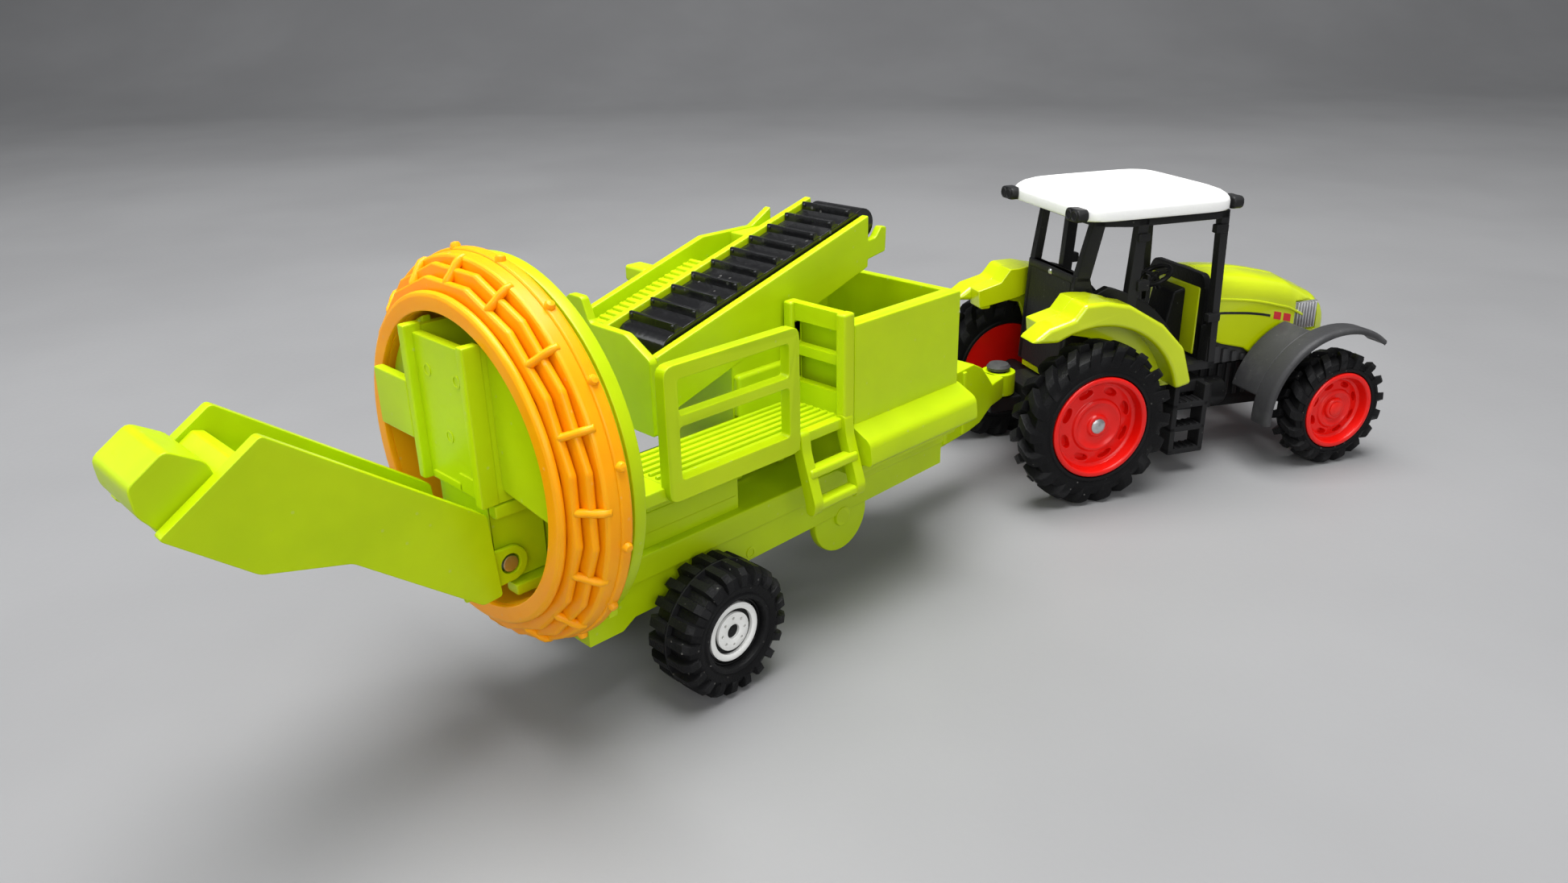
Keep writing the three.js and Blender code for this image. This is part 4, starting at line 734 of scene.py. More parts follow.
def fit_wheels():
    for word, side in SIDES:
        spin = Matrix.Identity(4) if side > 0 else Matrix.Rotation(math.pi, 4, "Z")
        # Harvester: block tread, black hub with a printed disc
        place = at(HARVESTER, 0, side * TRAIL_MIDDLE_Y, TRAIL_WHEEL_R) @ spin
        piece = tyre(TRAIL_WHEEL_R, TRAIL_TYRE_WIDTH, 4.55, 0.82, 20, 0.0, 0.66, 1.35, 0.18, True)
        piece.finished(f"harvester-tyre-{word}", "tyre", "harvester_wheels", place,
                       [f"harvester_tyre_{word}"])
        hub = Moulding()
        hub.add(revolved("y", (0, 0), [
            (HUB_BORE_R, -3.0), (HUB_R, -3.0), (HUB_R, 2.6), (4.45, 2.9), (4.3, 2.9), (4.2, 2.5),
            (HUB_BORE_R, 2.5),
        ], 56), 0)
        hub.finished(f"harvester-hub-{word}", "black", "harvester_wheels", place,
                     [f"harvester_rim_{word}"])
        band = Moulding()
        band.add(revolved("y", (0, 0), [(3.12, 2.4), (3.93, 2.4), (3.93, 3.02), (3.81, 3.08),
                                        (3.22, 3.0), (3.12, 2.94)], 56), 0)
        disc = revolved("y", (0, 0), [(0.98, 2.4), (2.56, 2.4), (2.56, 2.86), (2.46, 2.92),
                                      (1.1, 2.92), (0.98, 2.86)], 56)
        holes = []
        for i in range(HUB_HOLES):
            turn = math.tau * i / HUB_HOLES
            centre = (HUB_HOLE_RING_R * math.cos(turn), HUB_HOLE_RING_R * math.sin(turn))
            holes.append(rod("y", centre, HUB_HOLE_R, 2.45, 3.2, 14))
        band.add(carved(disc, *holes), 0)
        band.finished(f"harvester-hub-face-{word}", "white_hub", "harvester_wheels", place)

        # Tractor: chevron bars and slotted red discs
        rear = at(TRACTOR, REAR_AXLE_X, side * (HALF_TRACK - REAR_TYRE_WIDTH / 2), REAR_WHEEL_R) @ spin
        piece = tyre(REAR_WHEEL_R, REAR_TYRE_WIDTH, REAR_RIM_R, 1.35, 18, side * 0.20, 1.05, 2.0, 0.12, False)
        piece.finished(f"rear-tyre-{word}", "tyre", "rear_wheels", rear, [f"rear_tyre_{word}"])
        rim = slotted_rim(REAR_RIM_R, REAR_TYRE_WIDTH, RIM_SLOTS, 6.0, (1.35, 0.62), 4.0)
        rim.finished(f"rear-rim-{word}", "red", "rear_wheels", rear, [f"rear_rim_{word}"])
        front = at(TRACTOR, FRONT_AXLE_X, side * (HALF_TRACK - FRONT_TYRE_WIDTH / 2), FRONT_WHEEL_R) @ spin
        piece = tyre(FRONT_WHEEL_R, FRONT_TYRE_WIDTH, FRONT_RIM_R, 1.0, 17, side * 0.20, 0.85, 1.3, 0.12, False)
        piece.finished(f"front-tyre-{word}", "tyre", "front_wheels", front, [f"front_tyre_{word}"])
        rim = slotted_rim(FRONT_RIM_R, FRONT_TYRE_WIDTH, RIM_SLOTS, 4.55, (1.0, 0.5), 3.0)
        rim.finished(f"front-rim-{word}", "red", "front_wheels", front, [f"front_rim_{word}"])
    reach = TRAIL_MIDDLE_Y + TRAIL_TYRE_WIDTH * 0.28
    place = at(HARVESTER, 0, 0, TRAIL_WHEEL_R)
    axle_pin(reach, 0.24).finished("harvester-axle", "black", "harvester_wheels", place, ["harvester_axle"])
    reach = HALF_TRACK - REAR_TYRE_WIDTH * 0.18
    place = at(TRACTOR, REAR_AXLE_X, 0, REAR_WHEEL_R)
    axle_pin(reach, 0.5).finished("rear-axle", "steel", "rear_wheels", place, ["rear_axle"])
    reach = HALF_TRACK - FRONT_TYRE_WIDTH * 0.18
    place = at(TRACTOR, FRONT_AXLE_X, 0, FRONT_WHEEL_R)
    axle_pin(reach, 0.5).finished("front-axle", "red", "front_wheels", place, ["front_axle"])


# ---------------------------------------------------------------- harvester
def chassis():
    """Rails, skirt, deck box and the drawbar with its eye, in one moulding."""
    x0, x1 = FRAME_X
    piece = Moulding()
    piece.add(box((x0, 9.5), (-7.9, 7.9), (RAIL_Z[1] - 1, DECK_BOX_Z)), 0.35)
    piece.add(box((x0, x1), (-RAIL_HALF, RAIL_HALF), RAIL_Z), 0.4)
    ear = 6.2
    skirt = [
        (x0, RAIL_Z[0] + 0.5),
        (x0, SKIRT_Z - 1.2),
        (x0 + 5, SKIRT_Z - 1.2),
        (x0 + 7, SKIRT_Z),
        (-3.2, SKIRT_Z),
        (-3.2, ear),
        (3.2, ear),
        (3.2, SKIRT_Z),
        (x1, SKIRT_Z + 1),
        (x1, RAIL_Z[0] + 0.5),
    ]
    hollow = box((x0 + WALL, x1 - WALL), (WALL - FRAME_HALF, FRAME_HALF - WALL), (-2, RAIL_Z[1] - WALL))
    axle_bore = rod("y", (0, TRAIL_WHEEL_R), PIN_BORE_R, -FRAME_HALF - 1, FRAME_HALF + 1, 24)
    piece.add(carved(drawn(skirt, -FRAME_HALF, FRAME_HALF), hollow, axle_bore), 0.22)
    for side in (1, -1):
        ends = sorted((side * 6.9, side * 8.3))
        piece.add(rod("y", (29.0, SKIRT_Z), 5.5, *ends, 56), 0.35)
        lip = sorted((side * 8.0, side * 8.75))
        piece.add(rod("y", (29.0, SKIRT_Z), 1.5, *lip, 28), 0.2)
        # A moulding seam on the deck box and a round ejector mark
        piece.add(box((-15.4, 8.9), (side * 7.5, side * 7.96), (21.6, 21.74)), 0.04)
        mark = [(0.55, 8.3), (0.8, 8.3), (0.8, 8.7), (0.55, 8.7)]
        piece.add(revolved("y", (10.6, 12.9), [(r, side * y) for r, y in mark], 24), 0)
    sections = [
        (50.7, 5.8, 12.6, 24.4),
        (65.4, 4.2, 12.6, 24.4),
        (66.4, 4.1, 12.7, 24.3),
        (69.2, 3.8, 13.0, 22.9),
        (71.4, 3.6, 14.2, 20.6),
        (72.8, 3.5, 14.9, 19.0),
        (77.3, 2.7, 15.0, 19.0),
    ]
    piece.add(lofted([
        [(x, -half, low), (x, half, low), (x, half, high), (x, -half, high)]
        for x, half, low, high in sections
    ]), 0.35)
    bar_ribs = [(51.5, 5.2), (57.0, 4.7), (62.5, 4.2)]
    for x, half in bar_ribs:
        piece.add(box((x, x + 1.0), (-half - 0.7, half + 0.7), (13.1, 24.0)), 0.25)
    low, high = EYE_Z
    eye = [(1.5, low), (3.0, low), (3.0, high), (1.5, high)]
    piece.add(revolved("z", (HITCH_X, 0), eye, 40), 0.25, 2, 30)
    piece.finished("harvester-chassis", "lime", "harvester", HARVESTER, ["harvester_chassis"])


def hopper():
    """An open bin with a thick rim, a notch for the conveyor pair and a ledge on each side."""
    x0, x1 = HOPPER_X
    low, high = HOPPER_Z
    outside = box((x0, x1), (-HOPPER_HALF, HOPPER_HALF), (low, high))
    inside = box((x0 + WALL, x1 - WALL), (WALL - HOPPER_HALF, HOPPER_HALF - WALL), (low + WALL, high + 5))
    ends = (x0 - 1, x1 - 2 * WALL)
    notch = drawn([
        (ends[0], conveyor_low(ends[0]) - 0.6),
        (ends[1], conveyor_low(ends[1]) - 0.6),
        (ends[1], high + 23),
        (ends[0], high + 23),
    ], CONVEYOR_Y[0] - 0.6, TROUGH_FAR_Y + 0.6)
    piece = Moulding()
    piece.add(carved(outside, inside, notch), 0.28)
    # The near wall's rim is folded in to a broad flat top
    piece.add(box((x0 + 0.5, x1 - 0.5), (-HOPPER_HALF + 0.3, -HOPPER_HALF + 2.7),
                  (high - 2.4, high - 0.04)), 0.25)
    for side in (1, -1):
        section = softened([
            (side * (HOPPER_HALF - 0.5), low + 2.7),
            (side * (HOPPER_HALF + 3.8), low + 2.7),
            (side * (HOPPER_HALF + 3.4), low + 6.2),
            (side * HOPPER_HALF, low + 7.9),
            (side * (HOPPER_HALF - 0.5), low + 7.9),
        ], 0.9)
        piece.add(drawn(section, 25.6, x1 + 0.3, "x"), 0.28)
        # A stiffening line at the wall's foot
        piece.add(box((x0 + 0.4, x1 - 0.4), (side * 12.9, side * 13.5), (low + 0.15, low + 1.5)), 0.2)
    piece.finished("hopper", "lime", "harvester", HARVESTER, ["hopper"])


def belt():
    """The conveyor belt in one gloss moulding: loop, saw-tooth cleats and their end knobs."""
    tilt = math.degrees(BELT_TILT)
    roller = [(x, belt_top(x) - ROLLER_R / math.cos(BELT_TILT)) for x in BELT_X]
    loop = [
        *arc(roller[0], ROLLER_R, 90 + tilt, 270 + tilt, 14),
        *arc(roller[1], ROLLER_R, tilt - 90, tilt + 90, 14),
    ]
    piece = Moulding()
    piece.add(drawn(loop, *BELT_Y), 0.16)
    x = BELT_X[0] + 0.4
    while x < BELT_X[1] - 0.6:
        top = belt_top(x)
        tooth = softened([
            (x - 0.40, top - 0.4),
            (x + 2.3, top + 0.1),
            (x + 0.45, top + 0.42),
            (x + 0.22, top + 0.98),
            (x - 0.34, top + 0.98),
        ], 0.16)
        piece.add(drawn(tooth, BELT_Y[0] + 0.08, BELT_Y[1] - 0.08), 0.09)
        for y in (BELT_Y[0] + 0.5, BELT_Y[1] - 0.5):
            knob = Matrix.Translation((x - 0.05, y, top + 0.50))
            piece.add(rod("y", (0, 0), 0.44, -0.36, 0.36, 16), 0.12, 2, 30, knob)
        x += 3.65
    # Rolled ends with a hub and a raised arc
    for centre in roller:
        for y0, y1 in ((BELT_Y[0] - 0.25, BELT_Y[0] + 0.4), (BELT_Y[1] - 0.4, BELT_Y[1] + 0.25)):
            profile = [(0.02, y0), (0.8, y0), (0.8, y1), (0.02, y1)]
            piece.add(revolved("y", centre, profile, 20), 0)
    piece.finished("conveyor-belt", "belt", "harvester", HARVESTER, ["conveyor_belt"])


def conveyor():
    """Side walls, low end plate, the ribbed far trough and the foot, all moulded together."""
    near, far = CONVEYOR_Y
    rear = BELT_X[0] - ROLLER_R - 0.3 - WALL - 0.6
    end = BELT_X[1] - 0.6

    def top(x):
        return belt_top(x) - 0.6

    wall = [
        (rear, conveyor_low(rear) - 0.6),
        (rear, top(rear)),
        (end, top(end)),
        (end, top(end) - 3.6),
        (end + 1.6, top(end) - 3.4),
        (end + 2.8, top(end) - 2.0),
        (end + 4.0, top(end) - 2.2),
        (end + 3.8, top(end) - 5.8),
        (end, top(end) - 6.4),
        (end, conveyor_low(end) + 0.4),
    ]
    piece = Moulding()
    piece.add(drawn(wall, near, near + WALL), 0.26)
    crest = 1.3                      # the far wall stands this much higher
    far_side = [wall[0], (rear, top(rear) + crest), (end, top(end) + crest), *wall[3:]]
    piece.add(drawn(far_side, far - WALL, far), 0.26)
    floor = [
        (rear, conveyor_low(rear) - 0.6),
        (rear, belt_top(rear) - BELT_THICK - 0.3),
        (end - 0.4, belt_top(end - 0.4) - BELT_THICK - 0.3),
        (end - 0.4, conveyor_low(end) + 0.4),
    ]
    piece.add(drawn(floor, near + 0.2, far - 0.2), 0.2)
    cap = belt_top(BELT_X[0]) + 0.4
    plate = softened([
        (near, conveyor_low(rear) - 2.6),
        (TROUGH_FAR_Y, conveyor_low(rear) - 2.6),
        (TROUGH_FAR_Y, cap + 0.6),
        (TROUGH_FAR_Y - 3, cap + 3.2),
        (far + 1.0, cap + 3.2),
        (far - 0.4, cap),
        (near + 4.9, cap),
        (near, cap - 2.6),
    ], 0.5, 2)
    piece.add(drawn(plate, rear - 1.1, rear + 0.2, "x"), 0.26)

    flat = (BELT_X[0] + 19.7, BELT_X[0] + 29.5)
    flat_z = top(flat[0]) + 1.5
    slot_x = (BELT_X[0] + 17.4, BELT_X[0] + 25.0)
    front = BELT_X[1] - 2.4
    far_wall = [
        (rear, conveyor_low(rear) - 0.6),
        (rear, top(rear) + 1.0),
        (flat[0], flat_z),
        (flat[1], flat_z),
        (front, top(front) - 0.2),
        (front, conveyor_low(front) + 0.4),
    ]
    piece.add(drawn(far_wall, TROUGH_FAR_Y - WALL, TROUGH_FAR_Y), 0.26)
    floor_z = conveyor_low(slot_x[1]) + WALL + 0.4
    trough = [
        (rear, conveyor_low(rear) - 0.6),
        (rear, top(rear) - 0.6),
        (slot_x[0], top(slot_x[0]) - 0.6),
        (slot_x[0], floor_z),
        (slot_x[1], floor_z),
        (slot_x[1], flat_z - 0.2),
        (front, flat_z - 0.2),
        (front, conveyor_low(front) + 0.4),
    ]
    piece.add(drawn(trough, far - 0.2, TROUGH_FAR_Y - WALL + 0.2), 0.24)
    x = rear + 2.0
    while x < slot_x[0] - 1.2:
        z = top(x + 0.4) - 0.6
        rib = [(x, z - 0.4), (x + 0.62, z - 0.2), (x + 0.56, z + 0.42), (x + 0.1, z + 0.26)]
        piece.add(drawn(rib, far + 0.1, TROUGH_FAR_Y - WALL - 0.4), 0.1)
        x += 1.16
    lug = BELT_X[0] + 9.2
    piece.add(box((lug, lug + 3), (TROUGH_FAR_Y - 0.4, TROUGH_FAR_Y + 4.2),
                  (top(lug) - 0.9, top(lug) + 1.5)), 0.5, 3)
    foot = [
        (14.4, RAIL_Z[1] + 0.3),
        (24.0, RAIL_Z[1] + 0.3),
        (24.0, conveyor_low(24.0) + 0.5),
        (14.4, conveyor_low(14.4) + 0.5),
    ]
    hollow = box((14.4 + WALL, 24.0 - WALL), (near - 1, far + 1), (RAIL_Z[1] - 1, PLATFORM_Z - 3.5))
    piece.add(carved(drawn(foot, near + 0.1, far - 0.1), hollow), 0.26)
    piece.add(box((14.6, 23.8), (near - 0.9, near + 0.6), (29.4, 35.4)), 0.5, 3)
    piece.finished("conveyor-frame", "lime", "harvester", HARVESTER, ["conveyor_frame"])


def platform():
    """Walkway with a two-bar railing, a ladder panel with two windows, and hanging steps."""
    out = PLATFORM_Y
    rear, front = PLATFORM_X
    step = STEP_X[0]
    inner = CONVEYOR_Y[0] - 0.6
    top = RAILING_Z
    low = PLATFORM_Z
    piece = Moulding()
    piece.add(box((rear + 0.4, front - 0.2), (out + 0.5, inner), (low - 1.9, low - 0.4)), 0.25)
    for i in range(7):
        y = out + 1.9 + i * 1.32
        piece.add(box((rear + 0.8, front - 1.4), (y, y + 0.62), (low - 0.6, low)), 0.2)
    piece.add(box((rear + 0.5, step + 0.2), (out + 0.12, out + 1.4), (low - 2.3, low + 0.1)), 0.2)
    frame_outline = softened([(rear, low - 2.4), (step, low - 2.4), (step, top), (rear, top)], 1.5, 4)
    panes = []
    for z0, z1 in ((low + 0.2, top - 7.6), (top - 6.2, top - 1.8)):
        pane = softened([(rear + 2.0, z0), (step - 1.9, z0), (step - 1.9, z1), (rear + 2.0, z1)], 0.5, 3)
        panes.append(drawn(pane, out - 3, out + 3))
    piece.add(carved(drawn(frame_outline, out, out + 1.65), *panes), 0.36, 3)
    for y in (out + 0.55, out + 1.15):
        piece.add(box((rear + 1.2, step - 1.2), (y - 0.14, y + 0.14), (top - 0.5, top + 0.0)), 0.08)
    ladder = drawn([
        (out + 0.2, low - 1.5), (inner, low - 1.5), (inner, top - 0.7), (out + 0.2, top - 0.7),
    ], front - 1.0, front + 0.4, "x")
    rise = top - low
    windows = []
    for share in ((0.19, 0.45), (0.55, 0.78)):
        z0, z1 = (low + rise * part for part in share)
        y0, y1 = out + 1.9, inner - 1.5
        opening = softened([(y0, z0), (y1, z0), (y1, z1), (y0, z1)], 0.3)
        windows.append(drawn(opening, front - 3, front + 3, "x"))
    piece.add(carved(ladder, *windows), 0.24)
    piece.add(box((front - 1.6, front + 0.52), (out + 0.1, out + 1.8), (low - 1.2, top - 0.55)), 0.4, 3)
    piece.add(box((front - 1.6, front + 0.52), (inner - 1.5, inner + 0.08), (low - 1.2, top - 0.62)), 0.4, 3)
    stile = softened([
        (out + 1.6, low), (out, low), (out - 0.3, low - 2.7), (out - 2.5, low - 9.6), (out - 2.1, low - 11.2),
        (out - 0.8, low - 11.2), (out - 0.6, low - 9.6), (out + 1.4, low - 2.7),
    ], 0.6)
    for x in (step, front - 1.7):
        piece.add(drawn(stile, x, x + 1.7, "x"), 0.32)
    for y, z in ((out - 1.5, low - 6.3), (out - 2.3, low - 10.7)):
        piece.add(box((step + 0.4, front - 0.4), (y, y + 1.9), (z, z + 1.35)), 0.42, 3)
    wall_y = FRAME_HALF - WALL
    piece.add(box((rear + 0.6, 9.1), (-wall_y - 1.2, -wall_y), (DECK_BOX_Z + 0.3, low - 1.7)), 0.25)
    piece.add(box((-15.7, rear + 1.5), (out + 1.0, out + 5.5), (low - 2.3, low - 0.5)), 0.25)
    piece.finished("side-platform", "lime", "harvester", HARVESTER, ["side_platform"])


def disc():
    """The round backing plate with its raised edge bead and two ears."""
    front = FRAME_X[0] - 0.3
    rear = front - 1.6
    centre = (0, RING_Z)
    piece = Moulding()
    section = [(0.02, rear), (DISC_R, rear), (DISC_R, front), (0.02, front)]
    piece.add(revolved("x", centre, section, 96), 0.3, 2, 30)
    for r0, r1 in ((20.9, 21.8), (18.6, 19.1)):
        section = [(r0, rear + 0.4), (r0 + 0.1, rear - 0.22), (r1 - 0.1, rear - 0.22), (r1, rear + 0.4)]
        piece.add(revolved("x", centre, section, 96), 0)
    section = [(20.9, front - 0.4), (20.9, front + 0.2), (21.8, front + 0.2), (21.8, front - 0.4)]
    piece.add(revolved("x", centre, section, 96), 0)
    for side in (1, -1):
        ys = sorted((side * 12.4, side * 15.5))
        piece.add(box((rear + 0.2, front), ys, (18.0, 25.1)), 0.3)
    piece.finished("backing-disc", "lime", "harvester", HARVESTER, ["backing_disc"])


def ring():
    """The open lifting ring: a rear flange, two stepped ribs, cross pins and a broad front band."""
    x0, x1 = RING_X
    piece = Moulding()
    centre = (0, RING_Z)

    def hoop(points, rounding, count=96):
        piece.add(revolved("x", centre, points, count), rounding, 2, 30)

    def rib(corner, thickness, low, high):
        """A hoop of sixteen straight bars whose corners stand half a bay from the cross pins."""
        phase = RING_PITCH / 2
        section = [(corner - thickness, low), (corner, low), (corner, high), (corner - thickness, high)]
        piece.add(revolved("x", centre, section, 16, phase), 0.34, 3, 12)

    # Rear flange with a rolled lip, and a thin closed cone far under the ribs
    hoop([(17.1, x0), (18.9, x0), (19.3, x0 + 0.3), (19.3, x0 + 0.9), (17.1, x0 + 0.9)], 0.38)
    hoop([
        (17.1, x0 + 0.8), (18.0, x0 + 0.8), (18.7, x0 + 1.9),
        (20.5, x1 - 3.0), (20.8, x1 - 0.7), (17.1, x1 - 0.7),
    ], 0)
    # Two stepped ribs with narrow dark slots between them
    rib(20.75, 2.0, x0 + 1.08, x0 + 2.05)
    rib(22.0, 2.2, x0 + 2.28, x0 + 3.2)
    # Broad front band in two tiers, and the flat face that runs against the backing plate
    hoop([
        (20.2, x0 + 3.42), (22.45, x0 + 3.42), (22.7, x0 + 3.7), (22.85, x1 - 1.2), (20.2, x1 - 1.2),
    ], 0.24)
    hoop([
        (21.0, x0 + 5.0), (22.98, x0 + 5.0), (23.1, x0 + 5.3),
        (23.1, x1 - 0.3), (22.9, x1), (21.0, x1),
    ], 0.16)
    hoop([(17.1, x1 - 1.2), (21.6, x1 - 1.2), (21.6, x1), (17.1, x1)], 0.2)
    for i in range(16):
        turn = Matrix.Translation((0, 0, RING_Z)) @ Matrix.Rotation(RING_PITCH * i, 4, "X")
        # A short round pin crosses both ribs from the flange to the band
        path = [
            (x0 + 1.5, 19.7), (x0 + 1.7, 20.35), (x0 + 2.3, 21.0),
            (x0 + 2.9, 21.8), (x0 + 3.5, 22.35), (x0 + 4.3, 22.6),
        ]
        sections = []
        for x, r in path:
            loop = []
            for step in range(12):
                angle = math.tau * step / 12
                loop.append((x - 0.40 * math.sin(angle), 0.46 * math.cos(angle), r + 0.36 * math.sin(angle)))
            sections.append(loop)
        piece.add(lofted(sections), 0.1, 2, 60, turn)
        # Knobs stand on the band half a bay on
        half_turn = Matrix.Translation((0, 0, RING_Z)) @ Matrix.Rotation(RING_PITCH * (i + 0.5), 4, "X")
        profile = [(0.02, 22.4), (0.60, 22.4), (0.58, 23.30), (0.42, 23.58), (0.02, 23.66)]
        piece.add(revolved("z", (x1 - 0.9, 0), profile, 16), 0, turn=half_turn)
    piece.finished("lifting-ring", "orange", "ring", HARVESTER, ["lifting_ring"])


def carrier():
    """The fixed bearing inside the ring with its flat rear panel, webs and keeper tab."""
    fit = RING_INNER - 0.4
    front = -18.2
    rear = RING_X[0] - 0.5
    low = ARM_PIVOT[1] + 7.9
    half = ARM_HALF
    top = RING_Z + math.sqrt(fit * fit - half * half) - 0.2
    piece = Moulding()
    piece.add(box((rear, rear + WALL), (0.2 - half, half - 0.2), (low + 0.06, top - 0.9)), 0.2)
    for side in (1, -1):
        piece.add(box((rear - 1.0, rear + WALL), (side * (half - 1.4), side * half), (low, top)), 0.3)
        piece.add(box((rear + 0.5, front), (side * (half - WALL), side * (half - 0.1)),
                      (low + 0.1, top - 0.35)), 0.12)
        start = 15 if side > 0 else -math.degrees(math.asin(3.2 / fit))
        rim = arc((0, RING_Z), fit, start, math.degrees(math.acos((half - 0.4) / fit)), 18)
        outline = [(side * y, z) for y, z in [(half - 0.4, rim[0][1] + 1.4), *rim]]
        piece.add(drawn(outline, RING_X[0] + 1.3, RING_X[0] + 1.3 + WALL, "x"), 0.32, 3)
    # Raised step and round ejector marks on the flat panel
    piece.add(box((rear - 0.25, rear + 0.5), (-5.2, -1.2), (low + 0.4, low + 2.6)), 0.14)
    piece.add(box((rear - 0.25, rear + 0.5), (-1.6, 4.6), (low + 0.4, low + 1.3)), 0.12)
    for y, z in ((-3.1, low + 13.6), (3.0, low + 13.6), (0.0, low + 6.5)):
        profile = [(0.55, rear - 0.08), (0.75, rear - 0.08), (0.75, rear + 0.3), (0.55, rear + 0.3)]
        piece.add(revolved("x", (y, z), profile, 28), 0)
    piece.add(box((RING_X[0] - 0.3 - WALL, RING_X[0] - 0.3), (half - 0.4, RING_INNER - 3.0),
                  (RING_Z + 1.6, RING_Z + 8.6)), 0.28)
    piece.add(box((RING_X[0] - 0.8, front), (half - 0.4, RING_INNER - 3.9), (RING_Z + 2.0, RING_Z + 3.2)), 0.2)
    # The open tray under the panel: its rim and its foot
    piece.add(box((rear + 0.5, front), (-half, 1.5 - half), (low - 1.7, low - 0.06)), 0.3)
    piece.add(box((rear + 2.2, front), (0.3 - half, 2.6 - half), (ARM_PIVOT[1] - 4.1, ARM_PIVOT[1] - 2.7)), 0.3)
    cheek = half - 1.8
    hub = box((ARM_PIVOT[0] - 1.6, front), (-cheek, cheek), (ARM_PIVOT[1] - 2.6, low + 0.5))
    bore = rod("y", ARM_PIVOT, PIN_BORE_R, -half, half, 24)
    piece.add(carved(hub, bore), 0.2)
    piece.finished("ring-carrier", "lime", "harvester", HARVESTER, ["ring_carrier"])
    pin = Moulding()
    pin.add(rod("y", ARM_PIVOT, 1.0, -half + 0.8, half - 0.8, 24), 0.15)
    pin.finished("arm-pin", "steel", "harvester", HARVESTER, ["arm_pin"])


def arm():
    """The folding rear arm: two tapered cheeks, a trough between them, end slab and hood block."""
    px, pz = ARM_PIVOT
    half = ARM_HALF
    base = (px - 2.6, pz + 7.2)
    peak = (px - 23.8, pz + 23.0)
    tip = (px - 34.0, pz + 16.2)
    outline = [
        base, peak, tip, (px - 26.4, pz + 9.7), (px - 17.7, pz + 7.4), (px - 4.4, pz - 3.2),
        (px - 1.9, pz - 3.0),
    ]
    piece = Moulding()
    for side in (1, -1):
        ends = sorted((side * (half - 1.5), side * half))
        piece.add(drawn(softened(outline, 0.45, 3), *ends), 0.24, 3)
        # A recessed ear reaches on to the pivot
        ear = [(px - 6, pz + 2.0), (px - 6, pz - 2.6), *arc(ARM_PIVOT, 2.2, -95, 75, 14)]
        pin_bore = rod("y", ARM_PIVOT, EAR_BORE_R, -half - 1, half + 1, 24)
        piece.add(carved(drawn(ear, *sorted((side * (half - 1.45), side * (half - 0.75)))), pin_bore), 0.2)
    rise = (peak[1] - base[1]) / (base[0] - peak[0])
    drop = 4.4 / math.cos(math.atan(rise))

    def top(x):
        return base[1] + (base[0] - x) * rise

    floor_x = (base[0] - 1.4, peak[0] - 1.0)
    floor = [(x, top(x) - drop) for x in floor_x] + [(x, top(x) - drop - 1.8) for x in reversed(floor_x)]
    piece.add(drawn(floor, -half + 0.5, half - 0.5), 0.2)
    for offset in (-3.6, -1.2, 1.2, 3.6):
        line = [(x, top(x) - drop + 0.28) for x in floor_x]
        line += [(x, top(x) - drop - 0.3) for x in reversed(floor_x)]
        piece.add(drawn(line, offset - 0.25, offset + 0.25), 0.1)
    end_rise = (peak[1] - tip[1]) / (peak[0] - tip[0])

    def end_z(x):
        return tip[1] + (x - tip[0]) * end_rise

    slab = [
        (peak[0] - 2.2, end_z(peak[0] - 2.2) - 0.6),
        (tip[0] + 0.6, tip[1] - 0.4),
        (tip[0] + 2.4, tip[1] - 1.8),
        (peak[0] - 0.8, peak[1] - 8.2),
        (peak[0] - 1.0, peak[1] - 2.4),
    ]
    piece.add(drawn(slab, -half + 0.5, half - 0.5), 0.24)
    hood = softened([
        (tip[0] + 0.9, tip[1] - 0.3),
        (tip[0] - 0.8, tip[1] + 2.0),
        (tip[0] - 1.0, tip[1] + 4.7),
        (tip[0] + 2.6, tip[1] + 7.2),
        (tip[0] + 5.8, tip[1] + 5.2),
        (tip[0] + 6.4, end_z(tip[0] + 6.4) - 1.2),
    ], 0.7)
    piece.add(drawn(hood, -5.0, 5.0), 0.45, 3)
    piece.finished("rear-arm", "lime", "arm", HARVESTER, ["rear_arm"])


